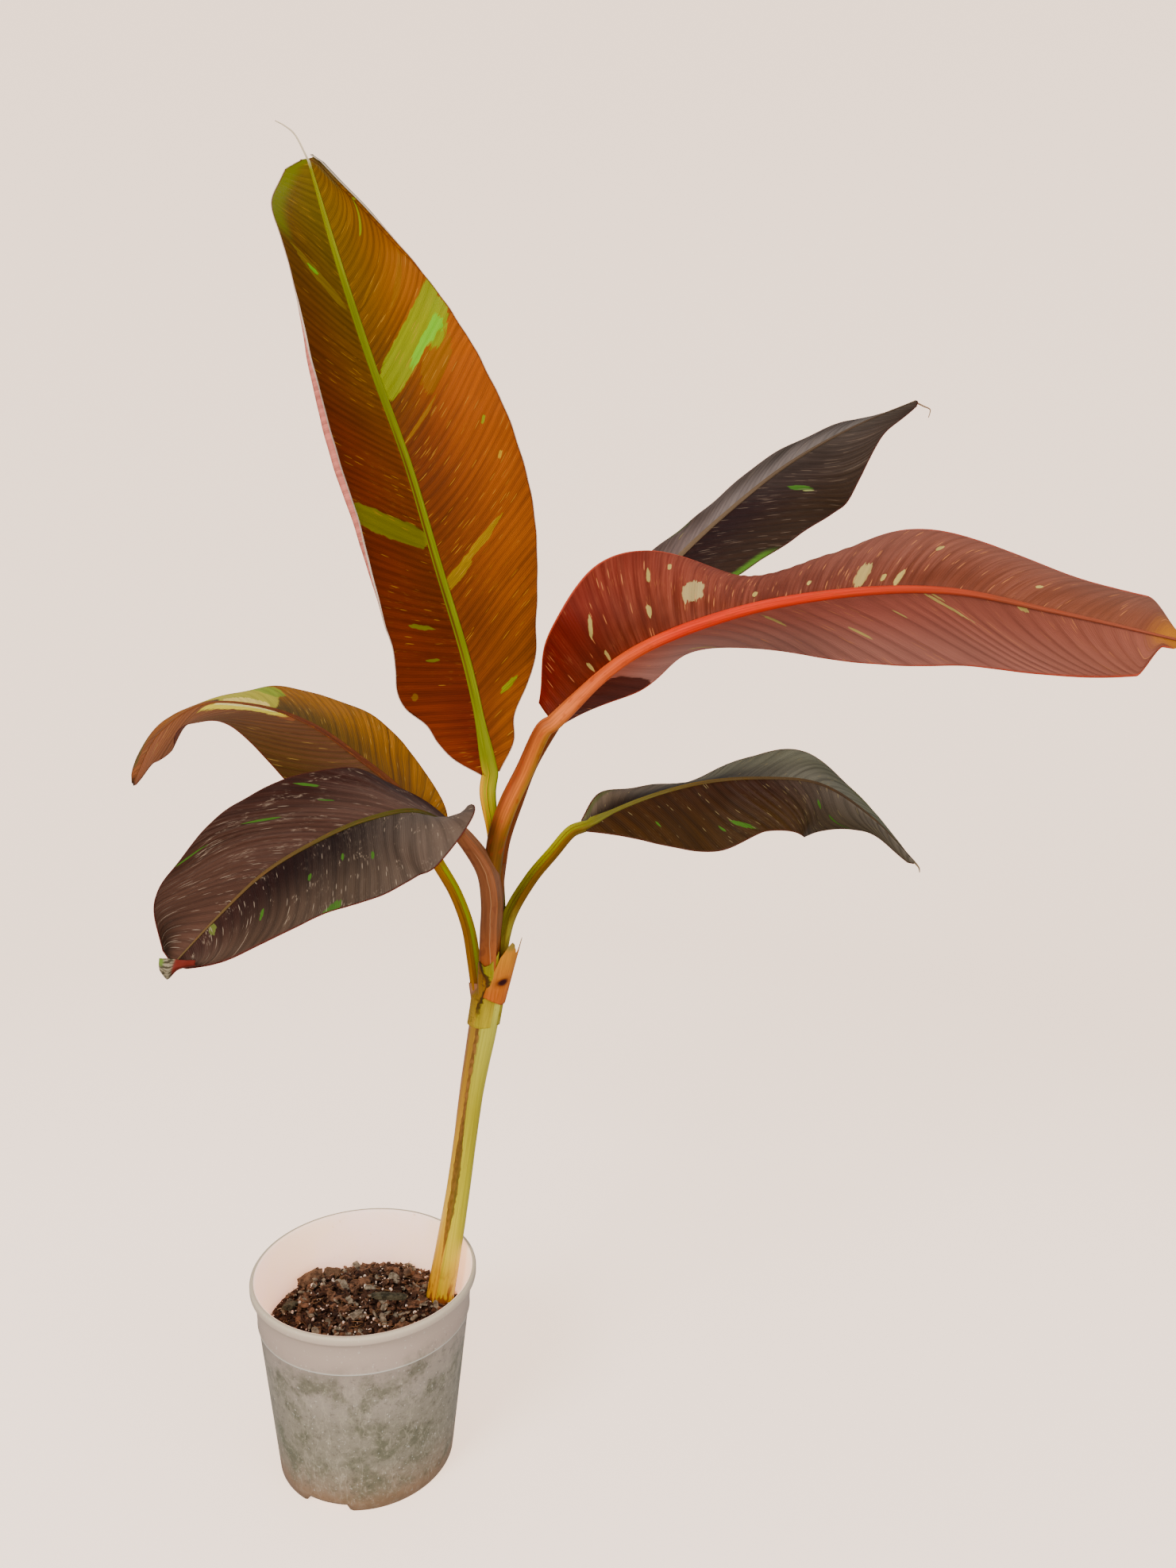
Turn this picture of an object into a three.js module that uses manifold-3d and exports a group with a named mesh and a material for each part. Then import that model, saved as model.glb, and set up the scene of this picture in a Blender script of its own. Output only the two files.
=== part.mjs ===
// A young variegated banana plant in a translucent nursery pot.
// Millimetres, +Z up. The origin is the centre of the pot's flat underside.
import * as THREE from "three";
import { mergeVertices } from "three/addons/utils/BufferGeometryUtils.js";
import Module from "manifold-3d";

const wasm = await Module();
wasm.setup();

// Driving dimensions
const GAP = 0.3; // clearance where one piece meets the next
const POT_HEIGHT = 166;
const POT_FOOT_R = 72.5;
const POT_STEP_Z = 130; // height of the fine ring round the wall
const POT_STEP_R = 86;
const POT_RIM_R = 92.3;
const POT_WALL = 1.4;
const POT_FOOT = 3; // height of the foot ring
const POT_SIDES = 48;
const NOTCH_WIDTH = 38;
const NOTCH_AZIMUTHS = [-105, 15, 135];
const SOIL_LEVEL = 116; // at the pot's wall
const SOIL_SIDES = 40;
const SOIL_CROWN = 4; // rise of the soil towards the middle
const HEAPS = [
  { at: [10, 52], height: 9, radius: 26 },
  { at: [-48, 36], height: 6, radius: 24 },
  { at: [-20, -30], height: -3, radius: 40 },
];
const SEAT_Z = 120; // soil height under the stem
const SEAT_R = 14;
const SEAT_X = 59;
const SEAT_Y = 30;
const BLADE_THICKNESS = 5.2;
const BLADE_STATIONS = 20;
const BLADE_SHARES = [0.4, 0.7, 1]; // columns of one half, as shares of its width
const LIMB_SIDES = 10;
const LIMB_STEPS = 2; // rings for each stretch between two points of a limb
const COLLAR = 12; // straight run of a petiole just before its blade
const GROOVE = 0.5; // depth of a petiole's channel, as a share of its radius
const RIB_DEPTH = 1.3; // depth of the midrib below a blade, and of its shoulders, in rib sizes
const RIB_SHOULDER = 0.6;
const THREAD_R = 1.1; // dried thread at a leaf tip

// Pseudostem, leaning to the right, with the radius at each point
const STEM = {
  points: [
    [57.5, 30, 112], [67, 29, 170], [75, 28, 221], [81, 28, 267],
    [87, 28, 313], [95, 27, 360], [101, 26, 397],
  ],
  radii: [12.4, 11.3, 10.2, 9.8, 10.3, 11.8, 12.8],
  groove: 0,
  face: [0, -1, 0],
};

// Rolled inner sheaths, seen behind the front petiole
const INNER_SHEATH = {
  points: [[101.5, 28, 397.4], [104, 30, 430], [106, 31, 470], [110, 32, 506]],
  radii: [9, 9, 9.5, 11],
  groove: 0,
  face: [0, -1, 0],
};

// Torn sheath left by an old leaf: a curved plate round the right of the stem's top
const STUB = {
  low: 384,
  high: 436,
  thickness: 1.8,
  radiusLow: 13.2,
  radiusHigh: 18.4,
  spanLow: [-100, 45],
  spanHigh: [-70, 25],
  tooth: 7, // height of the torn teeth
  axis: [99.5, 26.4], // centre of its foot
  lean: 0.14, // shift to the right for each millimetre of height
};

// One half of a blade, from base to tip: its widths, its folds out of the leaf's plane in degrees, and the
// extra bend in degrees between midrib and margin
const half = (width, fold, bend = [0, 0]) => ({ width, fold, bend });

// Each leaf: midrib points, the way its upper face looks, roll about the midrib, size of the rib below, the
// two halves seen from above with the tip away, the petiole up to the blade, and the dried thread at the tip
const LEAVES = [
  {
    name: "1",
    spine: [
      [102, 30, 580], [84, 37, 662], [59, 47, 742], [34, 60, 821],
      [4, 73, 899], [-23, 85, 977], [-47, 95, 1055],
    ],
    face: [0.25, -1, 0.1],
    roll: [0, 0],
    rib: 6,
    left: half([6, 64, 76, 79, 75, 68, 10], [0, 15, 38, 43, 42, 47, 52, 45, 0]),
    right: half([5, 54, 82, 87, 77, 56, 4], [10, -5, -5, 3, 17, 18, 0, -15, -10]),
    petiole: [[103, 34, 506.8], [101, 32, 528], [99, 31, 550]],
    radii: [5, 5, 5.2, 6, 6.2],
    thread: [[-47, 95, 1055], [-56, 95, 1071], [-64, 95, 1078], [-72, 95, 1082]],
    colour: 0x9a5420,
  },
  {
    name: "2",
    spine: [
      [152, 15, 624], [209, 6, 676], [281, -4, 708], [357, -17, 725],
      [433, -36, 729], [508, -58, 715], [582, -80, 698],
    ],
    face: [0.1, 0.3, 1],
    roll: [-50, -60, -70],
    rib: 6.5,
    left: half([10, 46, 68, 76, 71, 56, 5], [50, 60, 57, 49, 36, 29, 28, 13, -30]),
    right: half([20, 70, 68, 78, 65, 52, 4], [40, -15, 33, 85, 80, 58, 60, 62, 40], [30, 45, 60, 45, 30]),
    petiole: [[112, 23, 506.8], [114, 21, 530], [120, 20, 556], [130, 19, 584]],
    radii: [6, 6.5, 6.5, 6.5, 6.5, 6.5],
    colour: 0x8a3a2e,
  },
  {
    name: "3",
    spine: [
      [160, 79, 631], [205, 112, 694], [249, 142, 747], [300, 168, 795],
      [355, 195, 839], [416, 218, 875], [481, 240, 904],
    ],
    face: [-0.3, -0.5, 1],
    roll: [0, 0],
    rib: 5,
    left: half([12, 56, 57, 70, 67, 44, 4], [20, 7, -8, -16, -22, -20, -14, -14, -30]),
    right: half([9, 55, 69, 71, 71, 36, 4], [-15, -8, 12, -4, -13, -19, -26, -10, -20]),
    petiole: [[116.5, 36.5, 505.6], [119, 41, 526], [125, 49, 553], [135, 59, 585]],
    radii: [5, 5, 5, 5, 5, 5],
    thread: [[481, 240, 904], [488, 240, 899], [494, 240, 896], [493, 240, 889]],
    colour: 0x3a2624,
  },
  {
    name: "4",
    spine: [
      [54, 45, 512], [27, 69, 552], [-15, 89, 582], [-61, 107, 608],
      [-112, 124, 621], [-165, 139, 619], [-209, 150, 589], [-237, 160, 543],
    ],
    face: [0.1, -0.3, 1],
    roll: [0, 0],
    rib: 5,
    left: half([12, 52, 69, 75, 62, 44, 4], [-5, -13, -16, 0, 12, 5, -16, -16, -10]),
    right: half([12, 52, 69, 73, 67, 45, 5], [-10, -20, -12, -7, -9, -7, -11, 5, 30]),
    petiole: [[91, 33, 397.6], [87, 39, 422], [82, 40, 450], [72, 40, 478]],
    radii: [5.5, 5.5, 5.2, 5, 5, 5],
    colour: 0x6e4c20,
  },
  {
    name: "5",
    spine: [
      [76, 6, 539], [50, -24, 559], [18, -57, 558], [-10, -92, 549],
      [-36, -127, 535], [-57, -162, 514], [-78, -195, 489],
    ],
    face: [0.3, -0.6, 1],
    roll: [0, 0],
    rib: 5.5,
    left: half([10, 56, 68, 70, 63, 42, 4], [70, 34, 9, 7, 8, 12, 16, 11, -30]),
    right: half([12, 50, 63, 70, 65, 52, 7], [-5, -17, -3, -5, -8, -13, -20, -14, 15]),
    petiole: [[101.5, 15, 397.6], [104, 13, 440], [105, 13, 478], [100, 13, 506]],
    radii: [7, 8.5, 9, 8, 6, 5.5],
    colour: 0x44302e,
  },
  {
    name: "6",
    spine: [
      [177, 25, 540], [222, 35, 559], [270, 44, 572], [320, 50, 576],
      [370, 48, 572], [412, 42, 546], [447, 35, 511],
    ],
    face: [0, -0.5, 1],
    roll: [0, 0],
    rib: 4.4,
    left: half([5, 40, 45, 51, 45, 30, 4], [45, -13, -32, -33, -15, -5, -22, -27, -50]),
    right: half([6, 37, 57, 50, 46, 31, 4], [-35, -42, -50, -38, -20, -29, -75, -110, -90]),
    petiole: [[111, 24, 397.8], [112, 26, 430], [118, 26, 463], [135, 26, 494], [153, 25, 517]],
    radii: [3.5, 4.5, 5.5, 5.2, 5, 4.8, 4.6],
    colour: 0x4a3420,
  },
];
const RIB_TAPER = [1, 0.66, 0.58, 0.52, 0.42, 0.28, 0.15]; // height of the rib under a blade, base to tip

// Smooth value of an evenly spaced list at t from 0 to 1
function sample(list, t) {
  const last = list.length - 1;
  const x = Math.min(Math.max(t, 0), 1) * last;
  const i = Math.min(Math.floor(x), last - 1);
  const f = x - i;
  const b = list[i];
  const c = list[i + 1];
  const a = i > 0 ? list[i - 1] : 2 * b - c;
  const d = i < last - 1 ? list[i + 2] : 2 * c - b;
  const square = (2 * a - 5 * b + 4 * c - d) * f * f;
  const cube = (3 * b - a - 3 * c + d) * f * f * f;
  return 0.5 * (2 * b + (c - a) * f + square + cube);
}

const vector = (p) => new THREE.Vector3(...p);
const curveThrough = (points) => new THREE.CatmullRomCurve3(points.map(vector), false, "catmullrom", 0.5);

// Unit tangent, upper normal and right-hand side of a curve at t
function frameAt(curve, t, face, roll) {
  const step = 1e-3;
  const ahead = curve.getPoint(Math.min(t + step, 1));
  const tangent = ahead.sub(curve.getPoint(Math.max(t - step, 0))).normalize();
  const up = vector(face).addScaledVector(tangent, -vector(face).dot(tangent)).normalize();
  const side = new THREE.Vector3().crossVectors(tangent, up);
  const angle = THREE.MathUtils.degToRad(roll);
  const normal = up.clone().multiplyScalar(Math.cos(angle)).addScaledVector(side, Math.sin(angle));
  side.multiplyScalar(Math.cos(angle)).addScaledVector(up, -Math.sin(angle));
  return { origin: curve.getPoint(t), tangent, normal, side };
}

// Manifold solid of an indexed or plain geometry, turned to face out
function solidOf(geometry) {
  geometry.deleteAttribute("normal");
  geometry.deleteAttribute("uv");
  const merged = mergeVertices(geometry, 1e-3);
  const faces = new Uint32Array(merged.index.array);
  const build = () => new wasm.Manifold(
    new wasm.Mesh({ numProp: 3, vertProperties: merged.attributes.position.array, triVerts: faces }),
  );
  const solid = build();
  if (solid.volume() > 0) return solid;
  for (let i = 0; i < faces.length; i += 3) [faces[i + 1], faces[i + 2]] = [faces[i + 2], faces[i + 1]];
  return build();
}

// Largest piece of a solid after the cutters are taken away
function cut(solid, ...cutters) {
  const rest = cutters.reduce((body, cutter) => body.subtract(cutter), solid);
  return rest.decompose().sort((a, b) => b.volume() - a.volume())[0];
}

// Closed solid between two grids of points with the same rows and columns
function slab(top, bottom) {
  const rows = top.length;
  const columns = top[0].length;
  const points = [...top.flat(), ...bottom.flat()];
  const at = (layer, i, j) => layer * rows * columns + i * columns + j;
  const index = [];
  const quad = (a, b, c, d) => index.push(a, b, c, a, c, d);
  for (let i = 0; i < rows - 1; i += 1) {
    for (let j = 0; j < columns - 1; j += 1) {
      quad(at(0, i, j), at(0, i, j + 1), at(0, i + 1, j + 1), at(0, i + 1, j));
      quad(at(1, i, j), at(1, i + 1, j), at(1, i + 1, j + 1), at(1, i, j + 1));
    }
    quad(at(0, i, 0), at(0, i + 1, 0), at(1, i + 1, 0), at(1, i, 0));
    const j = columns - 1;
    quad(at(0, i, j), at(1, i, j), at(1, i + 1, j), at(0, i + 1, j));
  }
  for (let j = 0; j < columns - 1; j += 1) {
    quad(at(0, 0, j), at(1, 0, j), at(1, 0, j + 1), at(0, 0, j + 1));
    const i = rows - 1;
    quad(at(0, i, j), at(0, i, j + 1), at(1, i, j + 1), at(1, i, j));
  }
  const geometry = new THREE.BufferGeometry().setFromPoints(points);
  return solidOf(geometry.setIndex(index));
}

// Tapering limb: rings of radii along a curve, with a channel of the given depth on its upper face
function limb({ points, radii, groove, face }, grow = 0) {
  const curve = curveThrough(points);
  const steps = (points.length - 1) * LIMB_STEPS;
  const vertices = [];
  for (let i = 0; i <= steps; i += 1) {
    const t = i / steps;
    const { origin, tangent, normal, side } = frameAt(curve, t, face, 0);
    if (i === 0) origin.addScaledVector(tangent, -grow);
    if (i === steps) origin.addScaledVector(tangent, grow);
    const radius = sample(radii, t) + grow;
    for (let k = 0; k < LIMB_SIDES; k += 1) {
      const angle = (2 * Math.PI * k) / LIMB_SIDES;
      const reach = radius * (1 - groove * Math.max(0, Math.cos(angle)) ** 3);
      const point = origin.clone().addScaledVector(normal, reach * Math.cos(angle));
      vertices.push(point.addScaledVector(side, radius * Math.sin(angle)));
    }
  }
  const index = [];
  for (let i = 0; i < steps; i += 1) {
    for (let k = 0; k < LIMB_SIDES; k += 1) {
      const a = i * LIMB_SIDES + k;
      const b = i * LIMB_SIDES + ((k + 1) % LIMB_SIDES);
      index.push(a, b, b + LIMB_SIDES, a, b + LIMB_SIDES, a + LIMB_SIDES);
    }
  }
  for (const ring of [0, steps]) {
    const start = ring * LIMB_SIDES;
    const centre = new THREE.Vector3();
    for (let k = 0; k < LIMB_SIDES; k += 1) centre.addScaledVector(vertices[start + k], 1 / LIMB_SIDES);
    vertices.push(centre);
    for (let k = 0; k < LIMB_SIDES; k += 1) {
      const pair = [start + k, start + ((k + 1) % LIMB_SIDES)];
      if (ring === 0) pair.reverse();
      index.push(...pair, vertices.length - 1);
    }
  }
  return solidOf(new THREE.BufferGeometry().setFromPoints(vertices).setIndex(index));
}

// Offsets across one half of a blade at t: distance along the leaf's plane and height out of it
function halfProfile(half, t, shares) {
  const pieces = 24;
  const width = sample(half.width, t);
  const fold = sample(half.fold, t);
  const bend = sample(half.bend, t);
  const across = [0];
  const height = [0];
  for (let i = 0; i < pieces; i += 1) {
    const angle = THREE.MathUtils.degToRad(fold + bend * ((i + 0.5) / pieces - 0.5));
    across.push(across[i] + (width * Math.cos(angle)) / pieces);
    height.push(height[i] + (width * Math.sin(angle)) / pieces);
  }
  return shares.map((share) => {
    const x = share * pieces;
    const i = Math.min(Math.floor(x), pieces - 1);
    const mix = (list) => THREE.MathUtils.lerp(list[i], list[i + 1], x - i);
    return { across: mix(across), height: mix(height) };
  });
}

// Rows of a dried thread that carries on from a leaf's tip
function threadRows(leaf) {
  const curve = curveThrough(leaf.thread);
  const columns = [-1, -0.8, -0.5, -0.2, 0, 0.2, 0.5, 0.8, 1];
  return [0.15, 0.4, 0.7, 1].map((t) => {
    const { origin, normal, side } = frameAt(curve, t, leaf.face, 0);
    const row = (rise) => columns.map((share) =>
      origin.clone().addScaledVector(side, share * THREAD_R).addScaledVector(normal, rise));
    return { top: row(THREAD_R), bottom: row(-THREAD_R) };
  });
}

// Leaf blade of even thickness with its rib standing out below, and a thread at its tip
function blade(leaf) {
  const curve = curveThrough(leaf.spine);
  const rows = [];
  const depths = [];
  for (let i = 0; i < BLADE_STATIONS; i += 1) {
    const t = i / (BLADE_STATIONS - 1);
    const { origin, normal, side } = frameAt(curve, t, leaf.face, sample(leaf.roll, t));
    const rib = leaf.rib * sample(RIB_TAPER, t);
    const place = (half, sign) => {
      const ribShare = Math.min(0.3, rib / sample(half.width, t));
      return halfProfile(half, t, [ribShare, ...BLADE_SHARES]).map(({ across, height }) =>
        origin.clone().addScaledVector(side, sign * across).addScaledVector(normal, height));
    };
    rows.push([...place(leaf.left, -1).reverse(), origin, ...place(leaf.right, 1)]);
    const middle = BLADE_SHARES.length + 1;
    const depth = rows[i].map(() => 0);
    depth[middle] = rib * RIB_DEPTH;
    depth[middle - 1] = rib * RIB_SHOULDER;
    depth[middle + 1] = rib * RIB_SHOULDER;
    depths.push(depth);
  }
  const normalAt = (i, j) => {
    const along = rows[Math.min(i + 1, rows.length - 1)][j].clone().sub(rows[Math.max(i - 1, 0)][j]);
    const across = rows[i][Math.min(j + 1, rows[i].length - 1)].clone().sub(rows[i][Math.max(j - 1, 0)]);
    return across.cross(along).normalize();
  };
  const offset = (distance) => rows.map((row, i) =>
    row.map((point, j) => point.clone().addScaledVector(normalAt(i, j), distance(i, j))));
  const ends = leaf.thread ? threadRows(leaf) : [];
  const top = offset(() => BLADE_THICKNESS / 2);
  const bottom = offset((i, j) => -BLADE_THICKNESS / 2 - depths[i][j]);
  return slab([...top, ...ends.map((row) => row.top)], [...bottom, ...ends.map((row) => row.bottom)]);
}

// Petiole from the stem to just short of its blade's base, in line with the midrib
function petioleSpec(leaf) {
  const { origin, tangent, normal } = frameAt(curveThrough(leaf.spine), 0, leaf.face, leaf.roll[0]);
  const centre = origin.addScaledVector(normal, (-leaf.rib * RIB_DEPTH) / 2);
  const near = centre.clone().addScaledVector(tangent, -1.2 * GAP);
  const before = centre.clone().addScaledVector(tangent, -COLLAR);
  const face = normal.clone().addScaledVector(new THREE.Vector3(0, 0, 1), 0.3).toArray();
  const points = [...leaf.petiole, before.toArray(), near.toArray()];
  return { points, radii: leaf.radii, groove: GROOVE, face };
}

// Torn sheath: a curved plate whose upper edge ends in two teeth
function stub() {
  const rows = 6;
  const columns = 12;
  const grid = (extra) => Array.from({ length: rows }, (_, i) => {
    const t = i / (rows - 1);
    const rise = STUB.high - STUB.low;
    const centre = new THREE.Vector2(STUB.axis[0] + t * rise * STUB.lean, STUB.axis[1]);
    const radius = THREE.MathUtils.lerp(STUB.radiusLow, STUB.radiusHigh, t) + extra;
    return Array.from({ length: columns }, (_, j) => {
      const s = j / (columns - 1);
      const from = THREE.MathUtils.lerp(STUB.spanLow[0], STUB.spanHigh[0], t);
      const to = THREE.MathUtils.lerp(STUB.spanLow[1], STUB.spanHigh[1], t);
      const angle = THREE.MathUtils.degToRad(THREE.MathUtils.lerp(from, to, s));
      const tooth = STUB.tooth * t * Math.cos(4 * Math.PI * s);
      return new THREE.Vector3(
        centre.x + radius * Math.cos(angle),
        centre.y + radius * Math.sin(angle),
        STUB.low + t * rise + tooth,
      );
    });
  });
  return slab(grid(STUB.thickness), grid(0));
}

// Radius of the pot's outer wall below its step
const wallRadius = (z) => POT_FOOT_R + ((POT_STEP_R - POT_FOOT_R) * z) / POT_STEP_Z;

// Revolves a profile of [radius, height] pairs round the Z axis
function revolve(profile, sides) {
  const geometry = new THREE.LatheGeometry(profile.map(([r, z]) => new THREE.Vector2(r, z)), sides);
  return geometry.rotateX(Math.PI / 2);
}

// Thin-walled pot: flat centre and foot ring below, fine step and rolled lip above
function pot() {
  const outside = [
    [0, 0], [50, 0], [53, POT_FOOT], [65, POT_FOOT], [66.5, 0], [POT_FOOT_R, 0],
    [POT_STEP_R, POT_STEP_Z], [POT_STEP_R + 1.1, POT_STEP_Z + 0.8], [POT_STEP_R + 0.7, POT_STEP_Z + 2.4],
    [88.3, 158], [91.4, 158.6], [POT_RIM_R, 160.2], [POT_RIM_R, POT_HEIGHT - 1.6], [91.2, POT_HEIGHT],
    [88.8, POT_HEIGHT], [87.6, POT_HEIGHT - 1.4], [86.9, 156],
  ];
  const inside = [
    [POT_STEP_R - POT_WALL, POT_STEP_Z], [wallRadius(6) - POT_WALL, 6], [69.5, POT_FOOT + POT_WALL],
    [52, POT_FOOT + POT_WALL], [49, POT_WALL], [0, POT_WALL],
  ];
  const cup = solidOf(revolve([...outside, ...inside], POT_SIDES));
  const notches = NOTCH_AZIMUTHS.map((azimuth) => {
    const box = new THREE.BoxGeometry(12, NOTCH_WIDTH, 2 * POT_FOOT);
    box.translate(POT_FOOT_R, 0, 0);
    return solidOf(box.rotateZ(THREE.MathUtils.degToRad(azimuth)));
  });
  return cut(cup, ...notches);
}

// Height of the heaped soil above its level at the wall
function mound(x, y) {
  const edge = 1 - Math.min(1, Math.hypot(x, y) / wallRadius(SOIL_LEVEL)) ** 4;
  const heap = ({ at, height, radius }) =>
    height * Math.exp(-((x - at[0]) ** 2 + (y - at[1]) ** 2) / radius ** 2);
  return edge * HEAPS.reduce((sum, spot) => sum + heap(spot), SOIL_CROWN);
}

// Potting mix that fills the pot, heaped to the back, with a flat seat under the stem
function soil() {
  const clear = POT_WALL + GAP;
  const crown = [70, 56, 42, 28, 14, 0].map((r) => [r, SOIL_LEVEL]);
  const profile = [
    [0, clear], [48.6, clear], [51.6, POT_FOOT + clear], [69, POT_FOOT + clear],
    [wallRadius(6) - clear - 0.3, 6.4], [wallRadius(SOIL_LEVEL) - clear, SOIL_LEVEL], ...crown,
  ];
  const geometry = revolve(profile, SOIL_SIDES);
  const position = geometry.getAttribute("position");
  for (let i = 0; i < position.count; i += 1) {
    if (position.getZ(i) > SOIL_LEVEL - 1) {
      position.setZ(i, SOIL_LEVEL + mound(position.getX(i), position.getY(i)));
    }
  }
  const drum = (low, high) => {
    const cylinder = new THREE.CylinderGeometry(SEAT_R, SEAT_R, high - low, 24).rotateX(Math.PI / 2);
    return solidOf(cylinder.translate(SEAT_X, SEAT_Y, (low + high) / 2));
  };
  const heap = solidOf(geometry).add(drum(SOIL_LEVEL - 10, SEAT_Z));
  return cut(heap, drum(SEAT_Z, SEAT_Z + 20));
}

// Pseudostem, cut flat where it stands on the soil
function pseudostem() {
  const below = new THREE.BoxGeometry(80, 80, 40).translate(SEAT_X, SEAT_Y, SEAT_Z + GAP - 20);
  return cut(limb(STEM), solidOf(below));
}

// Three.js mesh of a solid
function meshOf(name, solid, colour, roughness) {
  const { vertProperties, triVerts, numProp } = solid.getMesh();
  const geometry = new THREE.BufferGeometry();
  geometry.setAttribute("position", new THREE.BufferAttribute(new Float32Array(vertProperties), numProp));
  geometry.setIndex(new THREE.BufferAttribute(new Uint32Array(triVerts), 1));
  geometry.computeVertexNormals();
  const material = new THREE.MeshStandardMaterial({ color: colour, roughness, metalness: 0 });
  const mesh = new THREE.Mesh(geometry, material);
  mesh.name = name;
  return mesh;
}

const plant = new THREE.Group();
plant.add(meshOf("pot", pot(), 0xd9d2c4, 0.45));
plant.add(meshOf("soil", soil(), 0x2c201a, 0.95));
plant.add(meshOf("pseudostem", pseudostem(), 0xc3cf72, 0.5));

// The front petioles keep their shape, and what lies behind is cut clear of them
const specs = LEAVES.map(petioleSpec);
const grown = specs.map((spec) => limb(spec, GAP));
const order = [4, 5, 3, 1, 0, 2];
order.forEach((leaf, rank) => {
  const inFront = order.slice(0, rank).map((other) => grown[other]);
  const piece = cut(limb(specs[leaf]), ...inFront, limb(STEM, GAP));
  plant.add(meshOf("petiole_" + LEAVES[leaf].name, piece, 0x9c7a36, 0.45));
});
const innerSheath = cut(limb(INNER_SHEATH), ...grown, limb(STEM, GAP));
plant.add(meshOf("inner_sheath", innerSheath, 0x8a4a3c, 0.5));
plant.add(meshOf("sheath_stub", cut(stub(), limb(STEM, GAP), ...grown), 0xb86a32, 0.6));

LEAVES.forEach((leaf) => {
  plant.add(meshOf("leaf_" + leaf.name, cut(blade(leaf), ...grown), leaf.colour, 0.5));
});

export default plant;
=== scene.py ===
# A young variegated banana plant in a translucent nursery pot, dressed round its CAD frame.
# Blender objects are in metres, +Z up. Lists of sizes and places below are in millimetres.
import math

import bmesh
import bpy
import numpy as np
from mathutils import Matrix, Vector


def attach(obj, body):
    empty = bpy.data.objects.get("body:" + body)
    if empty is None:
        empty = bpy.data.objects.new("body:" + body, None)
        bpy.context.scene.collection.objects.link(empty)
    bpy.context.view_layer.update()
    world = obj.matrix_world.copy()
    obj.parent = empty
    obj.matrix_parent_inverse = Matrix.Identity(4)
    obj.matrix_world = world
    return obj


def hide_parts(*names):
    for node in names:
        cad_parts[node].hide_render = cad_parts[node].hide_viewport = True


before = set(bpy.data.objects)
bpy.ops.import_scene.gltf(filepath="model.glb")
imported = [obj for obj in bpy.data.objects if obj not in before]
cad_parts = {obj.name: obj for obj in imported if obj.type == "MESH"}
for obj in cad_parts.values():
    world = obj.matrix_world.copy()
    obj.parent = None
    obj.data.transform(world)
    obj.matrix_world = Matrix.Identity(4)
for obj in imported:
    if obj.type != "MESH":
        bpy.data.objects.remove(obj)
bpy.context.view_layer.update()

MM = 0.001
TO_MM = 1000.0
TURN = 2 * np.pi

# Blades
BLADE_HALF = 0.3  # half of a blade's thickness
VEIN_STEP = 1.6  # distance between rows of a blade's mesh
VEIN_CURVE = 1.15  # how side veins bend towards the tip
VEIN_ROOM = 0.985  # share of the length past a vein's foot that its end may reach
HALF_COLUMNS = 26
COLUMN_CROWDING = 0.9  # below 1 the columns of a half lie closer at its margin
FIRST_COLUMN = 0.04  # where the columns start, under the midrib, as a share of the width
ROLL_COLUMNS = 6
LEAST_ROLL = 0.7  # width of the turned edge where a margin is flat
LOBE_END = 0.25  # share of the length that a lobe's extra width takes
TIP_TAPER = 0.012  # share of the length in which a blade narrows to its point
TIP_LEAST = 0.12  # square of the share of its width that it has left at its point
FLAT_CURL = 60  # degrees that a flat margin turns over
ROLLED_CURL = 130  # degrees more where it rolls in by WIDE_ROLL or more
WIDE_ROLL = 8
OUTLINE_WAVE = (0.006, 34)  # small waves of the outline: share of the width, and spacing
SURFACE_WAVE = (2.2, 62)  # broad waves of the surface at its margin: height and spacing
SURFACE_SHIFT = 25  # how far along the blade these waves shift from midrib to margin
PLEAT_DEPTH = 0.032  # depth of a pleat between two main side veins, as a share of their spacing
PLEAT_WANDER = 0.8  # how far pleats stray from even spacing, in spacings
PLEAT_SHARPNESS = 0.6  # below 1 the grooves are narrower than the ridges
PLEAT_FADE = 3  # distance from the margin in which pleats fade
PLEAT_GROWTH = 3  # pleats have their full depth from a third of the width outwards
RIB_SEAT = 0.85  # how far a blade lies flat under its midrib, as a share of the midrib's half width

# Pot and soil
POT_HEIGHT = 166
POT_FOOT_R = 72.5
POT_STEP_Z = 130
POT_STEP_R = 86
POT_RIM_R = 92.3
POT_WALL = 1.4
POT_SIDES = 180
POT_OVAL = 0.004  # how far the rim is out of round, as a share of its radius
FOOT_RING_R = 66
NOTCH_AZIMUTHS = [-105, 15, 135]
NOTCH_HALF = 13  # half of a notch's width in degrees
NOTCH_SIDE = 3  # degrees in which a notch's side rises
NOTCH_HEIGHT = 5.5
SOIL_LEVEL = 116
SOIL_FLOOR = 7
SOIL_CROWN = 4
SOIL_GAP = 0.4  # between the mix and the wall
BED_SINK = 1.2  # how far the rough bed lies under the heaps' surface
PERLITE_COUNT = 620
FIBRE_COUNT = 260
HEAPS = [((10, 50), 10, 28), ((-50, 38), 9, 24), ((-20, -30), -2, 40)]  # place, height, radius

# Pseudostem and the rolled inner sheaths
STEM_FOOT = (59, 30)
STEM_CLEAR = 13.5  # room that loose bits of the mix leave round its axis
STEM_POINTS = [
    (57.5, 30, 112), (67, 29, 170), (75, 28, 221), (81, 28, 267), (87, 28, 313), (95, 27, 360),
    (101, 26, 397),
]
STEM_RADII = [12.4, 11.3, 10.2, 9.8, 10.3, 11.8, 12.8]
INNER_POINTS = [(100, 28, 385), (103.5, 29, 430), (104.5, 30, 470), (105.5, 31, 506)]
INNER_RADII = [9, 9, 8.6, 8.4]

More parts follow.
